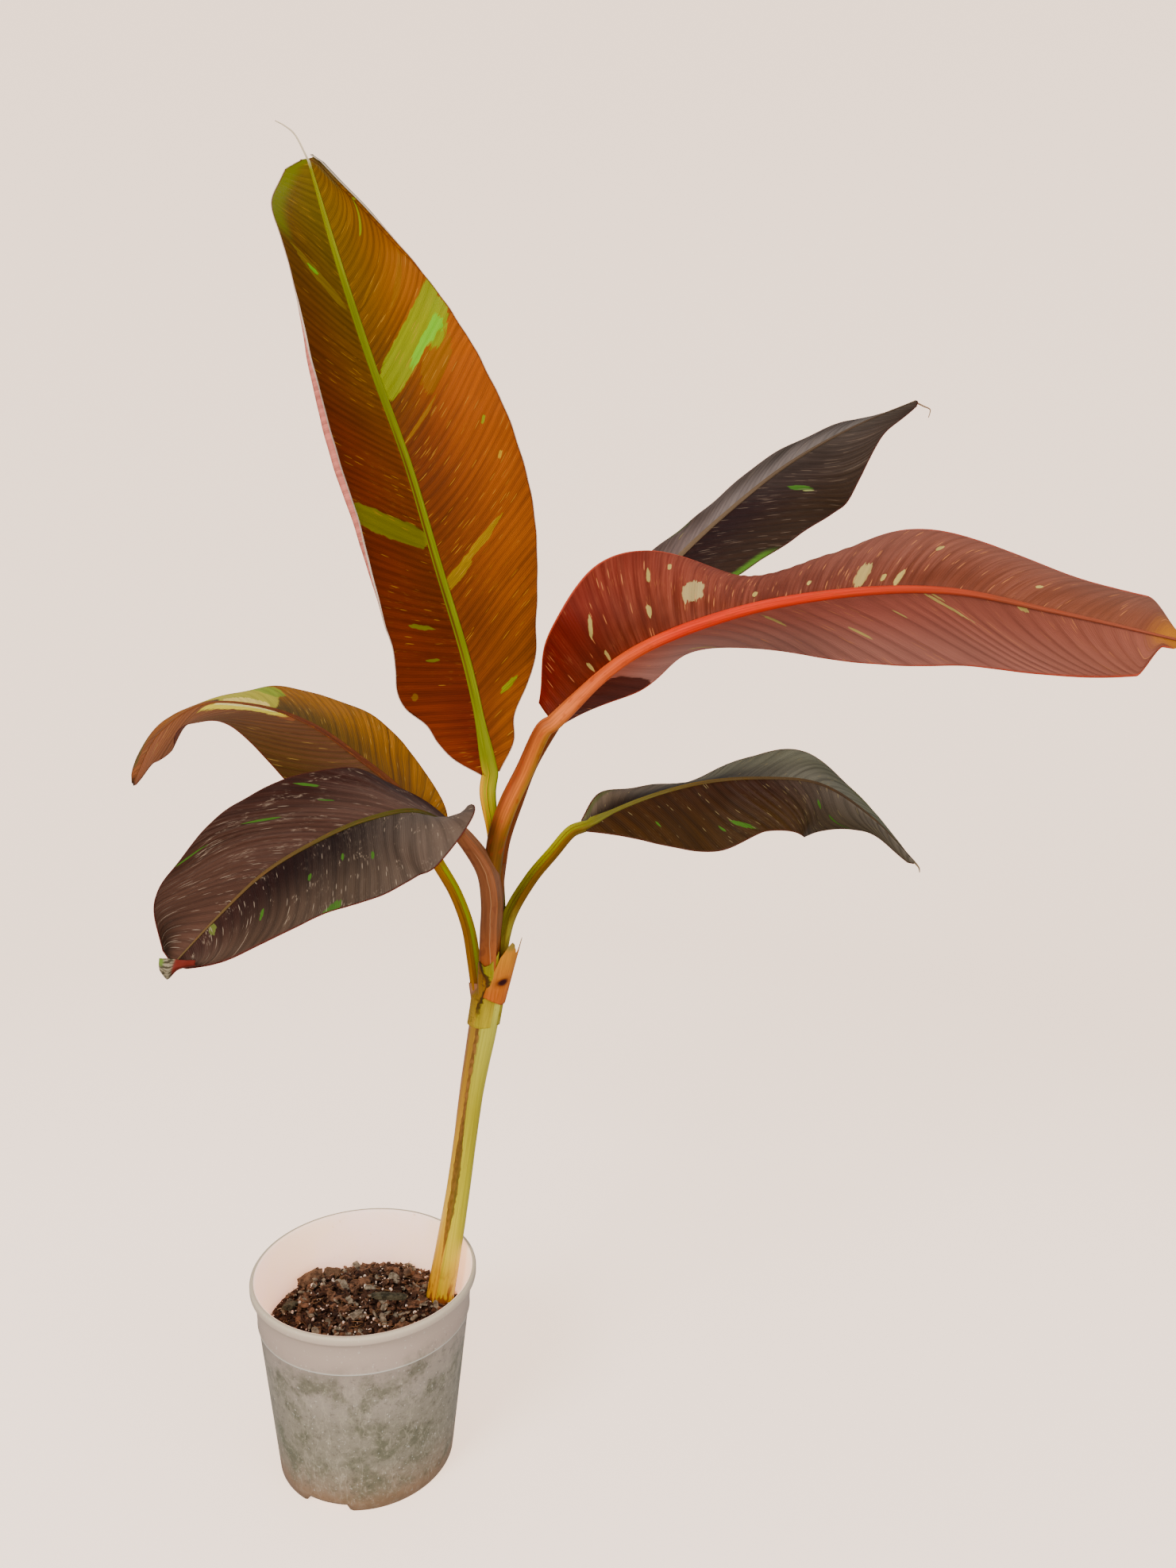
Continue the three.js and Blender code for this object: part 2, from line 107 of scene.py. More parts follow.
# Sheath steps: degrees round the stem of a free edge at its foot and at its top, how many degrees the
# overlap reaches, and its rise
STEM_STEPS = [(-104, -97, 150, 1.3), (40, 75, 120, 0.8), (160, 130, 100, 0.7)]
INNER_STEPS = [(-120, -100, 160, 0.9)]
STEP_EDGE = 4  # degrees in which a step rises
STEM_INSET = 0.5  # how much less the stem's radius is where it has no step


# One half of a blade from base to tip: its width; its fold and bend in degrees; the sweep of its side veins
# as a share of its greatest width; the spacing of its pleats; the width of the margin that rolls in over
# the upper face; the extra width of its lobe; and a notch, by the first and last share of the length and
# the share of the width that is left after it
def half(width, fold, sweep, pleat, bend=(0, 0), roll_in=(0, 0), lobe=(0, 0), notch=(2, 3, 1)):
    return {
        "width": width, "fold": fold, "sweep": sweep, "pleat": pleat, "bend": bend, "roll_in": roll_in,
        "lobe": lobe, "notch": notch,
    }


LEAVES = {
    "1": {
        "spine": [
            (102, 30, 580), (84, 37, 662), (59, 47, 742), (34, 60, 821), (4, 73, 899), (-23, 85, 977),
            (-47, 95, 1055),
        ],
        "face": (0.25, -1, 0.1),
        "rib": 5.2,
        "rib_width": [0.8, 0.7, 0.66, 0.62, 0.6, 0.5, 0.2],
        "left": half([6, 53, 71, 77.5, 79, 76.5, 70, 58, 15], [0, 15, 38, 43, 42, 47, 52, 45, 0],
                     [0, 0.15, 0.3, 0.4, 0.35, 0.45, 0], 6.5, roll_in=[0, 0, 1, 4, 8, 10, 8, 4, 0, 0, 0],
                     lobe=[1, 7, 5, 0, 5, 4, 0, -2, 0]),
        "right": half([5, 54, 82, 87, 77, 56, 4], [10, -5, -5, 3, 17, 18, 0, -15, -10],
                      [0, 0.6, 0.75, 0.7, 0.85, 0.7, 0], 7.5, roll_in=[0, 0, 0, 0, 0, 0, 0, 0, 1, 8, 9],
                      lobe=[2, 5, -3, 0, 3, 0, 0]),
        "petiole": [(109, 37, 462), (107.4, 36, 490), (103.8, 33.5, 530)],
        "collar": (99.6, 31, 562),
        "radii": [5, 5, 5, 6.5, 6.7],
        "channel": 0.08,
        "thread": [(-56, 95, 1071), (-64, 95, 1078), (-72, 95, 1082)],
    },
    "2": {
        "spine": [
            (152, 15, 624), (209, 6, 676), (281, -4, 708), (357, -17, 725), (433, -36, 729),
            (508, -58, 715), (587, -81, 697),
        ],
        "face": (0.1, 0.3, 1),
        "turn": [-50, -60, -70],
        "rib": 7,
        "left": half([10, 46, 68, 76, 71, 50, 22], [62, 36, 57, 49, 36, 29, 28, 13, -20],
                     [0, 0.5, 0.9, 1.5, 1.5, 0.8, 0], 15, notch=(0.955, 0.975, 0.25)),
        "right": half([20, 70, 68, 78, 65, 52, 36], [40, -15, 33, 85, 80, 58, 60, 62, 50],
                      [0, 0.15, 0.25, 0.4, 0.5, 0.5, 0], 9, bend=[30, 45, 60, 45, 30],
                      notch=(0.945, 1.0, 0.1)),
        "petiole": [(103, 25, 470), (105, 23, 506.8), (108.6, 21, 530), (117, 20, 556), (130, 19, 584)],
        "radii": [6, 7, 7.6, 7.7, 7.3, 6.8, 6.5],
    },
    "3": {
        "spine": [
            (160, 79, 631), (205, 112, 694), (249, 142, 747), (300, 168, 795), (355, 195, 839),
            (416, 218, 875), (481, 240, 904),
        ],
        "face": (-0.3, -0.5, 1),
        "rib": 5,
        "left": half([12, 56, 57, 70, 67, 44, 4], [20, 7, -8, -16, -22, -20, -14, -14, -30],
                     [0, 0.9, 1.2, 1.3, 1.2, 0.8, 0], 10),
        "right": half([9, 55, 69, 71, 71, 36, 4], [-15, -8, 12, -4, -13, -19, -26, -10, -20],
                      [0, 0.7, 0.9, 1.1, 1.1, 0.8, 0], 11),
        "petiole": [
            (106, 34, 470), (110, 36, 505.6), (113.4, 40.5, 526), (122.3, 48.5, 553), (134.5, 59, 585),
        ],
        "radii": [5, 5, 5, 5, 5, 5, 5],
        "thread": [(488, 240, 899), (494, 240, 896), (493, 240, 889)],
    },
    "4": {
        "spine": [
            (54, 45, 512), (27, 69, 552), (-15, 89, 582), (-61, 107, 608), (-112, 124, 621),
            (-165, 139, 619), (-209, 150, 589), (-237, 160, 543),
        ],
        "face": (0.1, -0.3, 1),
        "rib": 5,
        "left": half([12, 52, 69, 75, 62, 44, 4], [-5, -13, -16, 0, 12, 5, -16, -16, -10],
                     [0, 0.6, 0.8, 0.7, 0.7, 0.6, 0], 9),
        "right": half([12, 52, 69, 73, 67, 45, 5], [-10, -20, -12, -7, -9, -7, -11, 5, 30],
                      [0, 0.8, 1.0, 1.1, 1.0, 0.7, 0], 10),
        "petiole": [(96, 29, 365), (91, 33, 397.6), (87, 39, 422), (82, 40, 450), (72, 40, 478)],
        "radii": [6, 5.5, 5.5, 5.2, 5, 5, 5],
    },
    "5": {
        "spine": [
            (76, 6, 539), (50, -24, 559), (18, -57, 558), (-10, -92, 549), (-36, -127, 535),
            (-57, -162, 514), (-75, -189, 493),
        ],
        "face": (0.3, -0.6, 1),
        "rib": 3.2,
        "left": half([20, 56, 68, 70, 63, 42, 4], [120, 40, 9, 7, 8, 12, 16, 11, -30],
                     [0, 0.6, 0.85, 0.9, 0.85, 0.6, 0], 10),
        "right": half([12, 50, 63, 70, 65, 52, 7], [-5, -17, -3, -5, -8, -13, -20, -14, 15],
                      [0, 0.9, 1.4, 1.4, 1.0, 0.7, 0], 9),
        "petiole": [
            (98, 27, 376), (101.2, 20, 400), (102.5, 15.5, 425), (104, 13, 452), (105, 13, 480),
            (100, 13, 506),
        ],
        "radii": [6, 7.4, 8.4, 9, 9.2, 8.6, 6.8, 5.6],
        "channel": 0.08,
    },
    "6": {
        "spine": [
            (177, 25, 540), (222, 35, 559), (270, 44, 572), (320, 50, 576), (370, 48, 572), (412, 42, 546),
            (447, 35, 511),
        ],
        "face": (0, -0.5, 1),
        "rib": 2.8,
        "left": half([5, 40, 45, 51, 45, 24, 4], [45, -13, -32, -33, -15, -5, -22, -27, -50],
                     [0, 0.6, 0.7, 0.8, 0.7, 0.6, 0], 9),
        "right": half([6, 37, 57, 50, 46, 23, 4], [-35, -42, -50, -38, -20, -29, -75, -110, -90],
                      [0, 0.5, 0.8, 0.9, 0.9, 0.7, 0], 10),
        "petiole": [
            (107, 25, 372), (111, 24, 397.8), (112, 26, 430), (118, 26, 463), (135, 26, 494),
            (153, 25, 517),
        ],
        "radii": [3.5, 3.5, 4.5, 5.5, 5.2, 5, 4.8, 4.6],
        "thread": [(450, 35, 507), (451, 35, 503)],
    },
}
COLLAR = 12  # straight run of a petiole just before its blade
PETIOLE_EDGES = 0.72  # height of a petiole's edges over its centre, in radii
PETIOLE_CHANNEL = 0.15  # usual depth of its channel, in radii
RIB_DEPTH = 1.3  # depth of a midrib below its blade, in rib sizes
RIB_UNDER = 0.6  # depth that it has besides, down to its tip
RIB_STAND = 0.7  # height of its edges over the blade
RIB_EDGES = 0.2  # further height of its edges, in half widths
RIB_CHANNEL = 0.14  # depth of its channel, in half widths
RIB_BLEND = 0.1  # share of the length in which the petiole's outline turns into the midrib's
RIB_END = 0.995
THREAD_SIZE = 0.8  # half the thickness of the dried thread where it starts
THREAD_TAPER = 0.45  # how much less it is at its end
THREAD_CHANNEL = 0.1
RIB_TAPER = [1, 0.66, 0.58, 0.52, 0.42, 0.28, 0.15]
RIB_WIDTH = [0.8, 0.7, 0.62, 0.5, 0.38, 0.24, 0.12]
RING_STEP = 3  # distance between the rings of a petiole
RIB_STEP = 3.5  # distance between the rings of a midrib
STEM_STEP = 2.5  # distance between the rings of the stem


# Curves and frames, over arrays

# Smooth values of an evenly spaced list at t from 0 to 1
def sample(values, t):
    values = np.asarray(values, float)
    last = len(values) - 1
    ends = np.concatenate([[2 * values[0] - values[1]], values, [2 * values[-1] - values[-2]]])
    x = np.clip(np.asarray(t, float), 0, 1) * last
    i = np.minimum(x.astype(int), last - 1)
    f = x - i
    if values.ndim == 2:
        f = f[..., None]
    a, b, c, d = ends[i], ends[i + 1], ends[i + 2], ends[i + 3]
    square = (2 * a - 5 * b + 4 * c - d) * f ** 2
    cube = (3 * b - a - 3 * c + d) * f ** 3
    return 0.5 * (2 * b + (c - a) * f + square + cube)


def unit(vectors):
    return vectors / np.maximum(np.linalg.norm(vectors, axis=-1, keepdims=True), 1e-9)


def ease(x):
    x = np.clip(x, 0, 1)
    return x * x * (3 - 2 * x)


# Origin, tangent, upper normal and right-hand side of a curve at t, turned about the tangent by degrees
def frame_at(points, t, face, turn):
    step = 1e-3
    origin = sample(points, t)
    tangent = unit(sample(points, np.minimum(t + step, 1)) - sample(points, np.maximum(t - step, 0)))
    face = np.asarray(face, float)
    up = unit(face - np.sum(tangent * face, axis=-1, keepdims=True) * tangent)
    side = np.cross(tangent, up)
    angle = np.radians(turn)[..., None] if np.ndim(turn) else np.radians(turn)
    normal = up * np.cos(angle) + side * np.sin(angle)
    return origin, tangent, normal, side * np.cos(angle) - up * np.sin(angle)


def arc_length(points):
    walk = sample(points, np.linspace(0, 1, 200))
    return float(np.sum(np.linalg.norm(np.diff(walk, axis=0), axis=1)))


# Meshes

# Quads of a grid with the given rows and columns, numbered from start; closed joins last column to first
def grid_faces(rows, columns, start=0, closed=False, flip=False):
    i, j = np.meshgrid(np.arange(rows - 1), np.arange(columns if closed else columns - 1), indexing="ij")
    k = (j + 1) % columns
    quads = np.stack([i * columns + j, i * columns + k, (i + 1) * columns + k, (i + 1) * columns + j], -1)
    quads = quads.reshape(-1, 4) + start
    return quads[:, ::-1] if flip else quads


# Faces of a tube of rings, closed at each end by a fan round one more point
def tube_faces(rows, sides, flip=False):
    count = rows * sides
    faces = list(grid_faces(rows, sides, closed=True))
    faces += [((j + 1) % sides, j, count) for j in range(sides)]
    faces += [(count - sides + j, count - sides + (j + 1) % sides, count + 1) for j in range(sides)]
    return [face[::-1] for face in faces] if flip else faces


# Object from points in millimetres; uvs hold a pair per point; slots give each face's material
def add_object(name, points, faces, materials, uvs=None, slots=None, smooth=True):
    mesh = bpy.data.meshes.new(name)
    mesh.from_pydata((np.asarray(points) * MM).tolist(), [], [list(map(int, face)) for face in faces])
    corners = np.zeros(len(mesh.loops), np.int32)
    mesh.loops.foreach_get("vertex_index", corners)
    for label, pairs in (uvs or {}).items():
        layer = mesh.uv_layers.new(name=label)
        layer.data.foreach_set("uv", np.asarray(pairs, np.float32)[corners].ravel())
    for material in materials:
        mesh.materials.append(material)
    if slots is not None:
        mesh.polygons.foreach_set("material_index", np.asarray(slots, np.int32))
    mesh.polygons.foreach_set("use_smooth", np.full(len(mesh.polygons), smooth))
    mesh.update()
    obj = bpy.data.objects.new(name, mesh)
    bpy.context.scene.collection.objects.link(obj)
    return obj


# A piece of the plant or pot: rides on the root and may stand for CAD nodes, which it hides. Its slot is
# not used
def piece(obj, slot, *nodes):
    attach(obj, "root")
    if nodes:
        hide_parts(*nodes)


# Closed slab between two grids of points. Of two materials, the first is for the front alone
def slab(name, front, back, materials, uvs, slot, *nodes):
    rows, columns = front.shape[:2]
    count = rows * columns
    right = list(range(columns - 1, count, columns))
    left = list(range(0, count, columns))[::-1]
    last_row = list(range(count - 1, count - columns - 1, -1))
    outline = list(range(columns)) + right[1:] + last_row[1:] + left[1:-1]
    faces = list(grid_faces(rows, columns)) + list(grid_faces(rows, columns, start=count, flip=True))
    faces += [(a, a + count, b + count, b) for a, b in zip(outline, outline[1:] + outline[:1])]
    slots = np.full(len(faces), len(materials) - 1)
    slots[:(rows - 1) * (columns - 1)] = 0
    points = np.concatenate([front.reshape(-1, 3), back.reshape(-1, 3)])
    pairs = {label: np.concatenate([uv.reshape(-1, 2)] * 2) for label, uv in uvs.items()}
    piece(add_object(name, points, faces, materials, pairs, slots), slot, *nodes)


# Numbers that broadcast together, as the last axis of one array
def stacked(*values):
    return np.stack(np.broadcast_arrays(*values), -1)


WAVE_COUNT = 4


# Smooth random waves of x: a sum of sines with seeded phases
def waves(x, spacing, seed):
    rng = np.random.default_rng(seed)
    total = 0
    for k in range(WAVE_COUNT):
        pitch = spacing * (0.7 + 0.8 * rng.random())
        total = total + np.sin(TURN * (x / pitch + rng.random())) / (1 + 0.5 * k)
    return total / WAVE_COUNT


# Blades

# Distance along the blade and height out of it, at share v of the width, for a half that bends evenly
def bent(width, fold, bend, v):
    start = np.radians(fold - bend / 2)
    turn = np.radians(bend)
    even = np.abs(turn) < 1e-3
    safe = np.where(even, 1.0, turn)
    across = np.where(even, v * np.cos(start), (np.sin(start + safe * v) - np.sin(start)) / safe)
    height = np.where(even, v * np.sin(start), (np.cos(start) - np.cos(start + safe * v)) / safe)
    return width * across, width * height


# Height of the pleats at a vein's foot, from -1 in a groove to 1
def pleats(foot, spacing, seed):
    phase = foot / spacing + PLEAT_WANDER * waves(foot, 7 * spacing, seed)
    return 2 * np.abs(np.sin(np.pi * phase)) ** PLEAT_SHARPNESS - 1


# One half of a blade: rows follow the side veins, columns run from midrib to margin and round its edge
def half_grid(leaf, side, seed):
    spec = leaf[side]
    length = arc_length(leaf["spine"])
    rows = int(length / VEIN_STEP)
    foot = np.linspace(0, 1, rows)[:, None]
    v = (FIRST_COLUMN + (1 - FIRST_COLUMN) * np.linspace(0, 1, HALF_COLUMNS) ** COLUMN_CROWDING)[None, :]
    shift = np.maximum(sample(spec["sweep"], foot), 0) * max(spec["width"]) / length
    room = VEIN_ROOM * (1 - foot)
    shift = shift * room / np.maximum((shift ** 3 + room ** 3) ** (1 / 3), 1e-6)
    t = foot + shift * v ** VEIN_CURVE
    t_all = np.concatenate([t, np.repeat(t[:, -1:], ROLL_COLUMNS, 1)], 1)
    turn = sample(leaf.get("turn", [0, 0]), t_all)
    origin, _, normal, across_way = frame_at(leaf["spine"], t_all, leaf["face"], turn)
    width = sample(spec["width"], t_all)
    width = width + sample(spec["lobe"], np.minimum(t_all / LOBE_END, 1)) * (t_all < LOBE_END)
    width = width * (1 + OUTLINE_WAVE[0] * waves(t_all * length, OUTLINE_WAVE[1], seed + 2))
    width = width * np.clip((1 - t_all) / TIP_TAPER, TIP_LEAST, 1) ** 0.5
    first, last, remaining = spec["notch"]
    width = width * (1 - (1 - remaining) * ease((t_all - first) / (last - first)))
    fold = sample(spec["fold"], t_all)
    bend = sample(spec["bend"], t_all)

    # The flat part, from under the midrib to the margin
    flat = slice(0, HALF_COLUMNS)
    seat = leaf["rib"] * RIB_SEAT * sample(leaf.get("rib_width", RIB_WIDTH), t_all[:, flat])
    seat = np.minimum(seat, 0.5 * width[:, flat])
    free = np.maximum(v * width[:, flat] - seat, 0) / (width[:, flat] - seat)
    across, height = bent(width[:, flat] - seat, fold[:, flat], bend[:, flat], free)
    across = across + np.minimum(v * width[:, flat], seat)

    # The edge, which rolls in
    edge = slice(HALF_COLUMNS, None)
    roll = np.linspace(0, 1, ROLL_COLUMNS + 1)[1:][None, :]
    strip = np.maximum(sample(spec["roll_in"], t_all[:, edge]), LEAST_ROLL)
    curl = FLAT_CURL + ROLLED_CURL * np.clip(strip / WIDE_ROLL, 0, 1)
    over_x, over_y = bent(strip, fold[:, edge] + bend[:, edge] / 2 + curl / 2, curl, roll)
    across = np.concatenate([across, across[:, -1:] + over_x], 1)
    height = np.concatenate([height, height[:, -1:] + over_y], 1)

    v_all = np.concatenate([np.repeat(v, rows, 0), np.ones((rows, ROLL_COLUMNS))], 1)
    out = np.concatenate([v * width[:, flat], width[:, HALF_COLUMNS - 1:HALF_COLUMNS] + strip * roll], 1)
    surface = waves(t_all * length + SURFACE_SHIFT * v_all, SURFACE_WAVE[1], seed + 3)
    height = height + SURFACE_WAVE[0] * v_all ** 2 * surface
    sign = 1 if side == "right" else -1
    points = origin + across_way * (sign * across)[..., None] + normal * height[..., None]
    foot_all = np.repeat(foot * length, v_all.shape[1], 1)
    pleat = pleats(foot_all, spec["pleat"], seed)
    margin = np.concatenate([(1 - v) * width[:, flat], strip * (roll - 1)], 1)
    fade = np.clip(v_all * PLEAT_GROWTH, 0, 1) * np.clip(margin / PLEAT_FADE, 0, 1)
    lift = fade * PLEAT_DEPTH * spec["pleat"] * pleat
    return points, foot_all, sign * out, margin, pleat, lift


# Whole blade as a thin closed slab with pleats, its upper and lower faces in two materials
def blade(name, leaf, upper, lower, slot, seed):
    left = half_grid(leaf, "left", seed)
    right = half_grid(leaf, "right", seed + 10)
    joined = (np.concatenate([a[:, ::-1], b], 1) for a, b in zip(left, right))
    points, foot, out, margin, pleat, lift = joined
    normal = unit(np.cross(np.gradient(points, axis=1), np.gradient(points, axis=0)))
    points = points + normal * lift[..., None]
    uvs = {"Vein": stacked(foot * MM, out * MM), "Edge": stacked(margin * MM, pleat)}
    top, bottom = points + normal * BLADE_HALF, points - normal * BLADE_HALF
    slab("blade_" + name, top, bottom, [upper, lower], uvs, slot, "leaf_" + name)


# Petioles with their midribs

SECTION_X = [0, 0.36, 0.7, 0.88, 1.0, 1.0, 0.88, 0.62, 0.32, 0]
SECTION_GROOVE = [1, 0.82, 0.22, 0, 0, 0, 0, 0, 0, 0]
SECTION_DROP = [0, 0, 0, 0, 0.14, 0.36, 0.64, 0.86, 0.97, 1]
SECTION_POINTS = 13


# Closed outline of a stalk from its half width, its edges' height, its channel's and its underside's depth
def stalk_section(width, top, groove, deep):
    share = np.linspace(0, 1, SECTION_POINTS)
    x = width * sample(SECTION_X, share)
    y = top - groove * sample(SECTION_GROOVE, share) - (top + deep) * sample(SECTION_DROP, share)
    return np.concatenate([x, -x[-2:0:-1]]), np.concatenate([y, y[-2:0:-1]])


# Frame of one place on a curve
def ring_frame(points, t, face, turn=0.0):
    return (a[0] for a in frame_at(points, np.array([t]), face, turn))


# Rings of the petiole, the midrib and the dried thread as one tapering limb, and where the midrib starts
def stalk_rings(leaf):
    spine, rib, upward = leaf["spine"], leaf["rib"], leaf["face"]
    turn = leaf.get("turn", [0, 0])
    origin, tangent, normal, _ = ring_frame(spine, 0.0, upward, sample(turn, np.array([0.0])))
    sink = rib * RIB_DEPTH / 2
    centre = origin - normal * sink
    path = leaf["petiole"] + [leaf.get("collar", tuple(centre - tangent * COLLAR)), tuple(centre)]
    face = normal + np.array([0, 0, 0.3])
    rings = []
    for u in np.linspace(0, 1, int(arc_length(path) / RING_STEP)):
        o, _, n, s = ring_frame(path, u, face * (1 - ease(u)) + normal * ease(u))
        radius = float(sample(leaf["radii"], u))
        channel = leaf.get("channel", PETIOLE_CHANNEL) * radius
        rings.append((o, n, s, (radius, PETIOLE_EDGES * radius, channel, radius)))
    last = rings.pop()[3]
    zero = len(rings)
    for t in np.linspace(0, RIB_END, int(arc_length(spine) / RIB_STEP)):
        o, _, n, s = ring_frame(spine, t, upward, sample(turn, np.array([t])))
        taper = float(sample(RIB_TAPER, t))
        wide = rib * float(sample(leaf.get("rib_width", RIB_WIDTH), t))
        drop = sink * taper
        edges = drop + RIB_STAND + RIB_EDGES * wide
        rib_section = (wide, edges, RIB_CHANNEL * wide, rib * RIB_DEPTH * taper + RIB_UNDER - drop)
        mix = ease(t / RIB_BLEND)
        section = tuple(a * (1 - mix) + b * mix for a, b in zip(last, rib_section))
        rings.append((o - n * drop, n, s, section))
    if "thread" in leaf:
        path = [tuple(rings[-1][0])] + leaf["thread"]
        for t in np.linspace(0.05, 1, 24):
            o, _, n, s = ring_frame(path, t, upward)
            size = THREAD_SIZE - THREAD_TAPER * t
            rings.append((o, n, s, (size, size, THREAD_CHANNEL, size)))
    return rings, zero


# The limb as a closed tube, with the distance along it and the share round it as its texture places
def stalk(name, leaf, material):
    rings, zero = stalk_rings(leaf)
    sections = [stalk_section(*ring[3]) for ring in rings]
    columns = len(sections[0][0])
    grid = np.array([o + np.outer(x, s) + np.outer(y, n) for (o, n, s, _), (x, y) in zip(rings, sections)])
    centres = np.array([ring[0] for ring in rings])
    walk = np.concatenate([[0], np.cumsum(np.linalg.norm(np.diff(centres, axis=0), axis=1))])
    walk = (walk - walk[zero]) * MM
    uv = stacked(walk[:, None], np.arange(columns)[None] / columns).reshape(-1, 2)
    uv = np.concatenate([uv, [[walk[0], 0.5], [walk[-1], 0.5]]])
    points = np.concatenate([grid.reshape(-1, 3), [grid[0].mean(0)], [grid[-1].mean(0)]])
    faces = tube_faces(len(rings), columns, flip=True)
    obj = add_object("petiole_and_midrib_" + name, points, faces, [material], {"Stalk": uv})
    piece(obj, "petiole", "petiole_" + name)


# Stem

# Surface of a leaning stem at t from 0 to 1 and an angle round it, with the steps of its sheaths
def stem_surface(points, radii, t, angle, steps, extra):
    centre = sample(points, t)
    radius = sample(radii, t) - STEM_INSET
    degrees = np.degrees(angle)
    rise = 0
    for low, high, reach, height in steps:
        edge = low * (1 - t) + high * t
        past = np.mod(degrees - edge, 360)
        rise = rise + np.where(past < reach, height * (1 - past / reach) * ease(past / STEP_EDGE), 0)
    r = radius + rise + extra
    offset = np.stack([np.cos(angle) * r, np.sin(angle) * r, np.zeros_like(r)], -1)
    return centre + offset


def sheath_tube(name, points, radii, steps, material, slot, node, sides=96):
    length = arc_length(points)
    t = np.linspace(0, 1, int(length / STEM_STEP))[:, None]
    angle = np.linspace(0, TURN, sides, endpoint=False)[None, :]
    t, angle = np.broadcast_arrays(t, angle)
    wrinkle = 0.12 * waves(angle * 12, 3.2, 5) + 0.1 * waves(t * length, 30, 6)
    grid = stem_surface(points, radii, t, angle, steps, wrinkle)
    uv = np.concatenate([stacked(t * length * MM, angle / TURN).reshape(-1, 2), [[0, 0], [length * MM, 0]]])
    flat = np.concatenate([grid.reshape(-1, 3), [grid[0].mean(0)], [grid[-1].mean(0)]])
    obj = add_object(name, flat, tube_faces(len(grid), sides), [material], {"Stalk": uv})
    piece(obj, slot, node)


# The torn sheath of an old leaf at the stem's top

STUB_AXIS = (99.5, 25)
STUB_LEAN = 0.18
STUB_LOW = 391
STUB_HIGH = 444
STUB_CUT = 9  # how much higher its foot lies at its left than at its right
STUB_RADII = (15.4, 19)
STUB_SPANS = ((-104, 50), (-72, 26))  # degrees round the stem, at its foot and at its top
STUB_THICK = 1.3
TORN_TOP = [0.8, 0.97, 1.03, 0.93, 0.83, 0.9, 1.03, 0.7, 0.5]  # height of the torn edge from left to right


# Texture places of a skin round a stem: degrees round it as millimetres on a small cylinder, and height
def skin_places(angle, z):
    return stacked(angle * 10 * MM, z * MM)


def torn_sheath(material):
    rows, columns = 36, 60
    share = np.linspace(0, 1, columns)[None, :]
    edge = sample(TORN_TOP, share) + 0.02 * waves(share, 0.07, 31) + 0.012 * waves(share, 0.03, 32)
    foot = STUB_CUT / (STUB_HIGH - STUB_LOW) * np.clip(1 - share / 0.45, 0, 1)
    up = foot + np.linspace(0, 1, rows)[:, None] * (edge - foot)
    low, high = STUB_SPANS
    start = low[0] + (high[0] - low[0]) * ease(up)
    end = low[1] + (high[1] - low[1]) * ease(up)
    angle = np.radians(start + (end - start) * share)
    z = STUB_LOW + (STUB_HIGH - STUB_LOW) * up
    radius = STUB_RADII[0] + (STUB_RADII[1] - STUB_RADII[0]) * up + 0.25 * waves(share * 60, 9, 33) * up
    thin_sides = np.sin(np.pi * np.clip(share * 0.96 + 0.02, 0, 1)) ** 0.3
    thick = STUB_THICK * (1 - 0.55 * up / np.max(up)) * thin_sides

    def wall(r):
        x = STUB_AXIS[0] + STUB_LEAN * (z - STUB_LOW) + np.cos(angle) * r
        return stacked(x, STUB_AXIS[1] + np.sin(angle) * r, z)

    uvs = {"Stub": skin_places(angle, z)}
    front, back = wall(radius), wall(radius - thick)
    slab("torn_sheath", front, back, [material], uvs, "dry_sheath", "sheath_stub")


# The dried, curled tip of leaf 5: its upper and lower edge from left to right
CURL_UPPER = [(-83.5, -190, 497), (-76, -191, 497), (-69, -190, 496), (-62, -187, 495)]
CURL_LOWER = [(-81, -191, 486), (-77.5, -193, 484.5), (-71, -192, 490.5), (-62, -187, 491.5)]
CURL_THICK = 0.6
CURL_BULGE = 3.5


def curled_tip(material):
    across = np.linspace(0, 1, 28)[None, :]
    down = np.linspace(0, 1, 14)[:, None]
    upper, lower = sample(CURL_UPPER, across), sample(CURL_LOWER, across)
    front = upper * (1 - down[..., None]) + lower * down[..., None]
    bulge = CURL_BULGE * np.sin(np.pi * down) * (1 - 0.5 * across) + 0.5 * waves(across * 20, 5, 91)
    front = front + stacked(0 * bulge, -bulge, 0)
    back = front + np.array([0, CURL_THICK, 0])
    slab("curled_tip", front, back, [material], {"Curl": stacked(across, down)}, "leaf_dark")


# Top of the outer sheath: a skin round the stem's top and the feet of petioles 4 and 5, from left to front

WRAP_LOW = 372
WRAP_RISE = 58  # from its foot to the last place of its axis
WRAP_AXIS = [(95.5, 27), (101, 25), (102.5, 22.5)]  # at its foot, half way and at its top
WRAP_SPAN = (-205, -58)  # degrees round its axis
WRAP_TOP = [404, 407, 414, 424, 430, 427, 431, 439]  # height of its top edge from left to right
WRAP_THICK = 0.8
WRAP_LIMBS = [  # what it wraps: path, radius, and the height where it lets go
    (STEM_POINTS, 13.3, 397), (LEAVES["4"]["petiole"], 5.7, 450), (LEAVES["5"]["petiole"], 8.6, 480),
]
WRAP_FADE = 14  # height over which a limb lets go of it
WRAP_STAND = 0.35  # how far its outside stands out from the limbs at its foot
WRAP_FLARE = 0.5  # how much further out it stands at its top
SMOOTHING_ROUNDS = 14


# Centre of a limb where it passes a height
def centre_at(points, z):
    walk = sample(points, np.linspace(0, 1, 400))
    return np.interp(z, walk[:, 2], walk[:, 0]), np.interp(z, walk[:, 2], walk[:, 1])


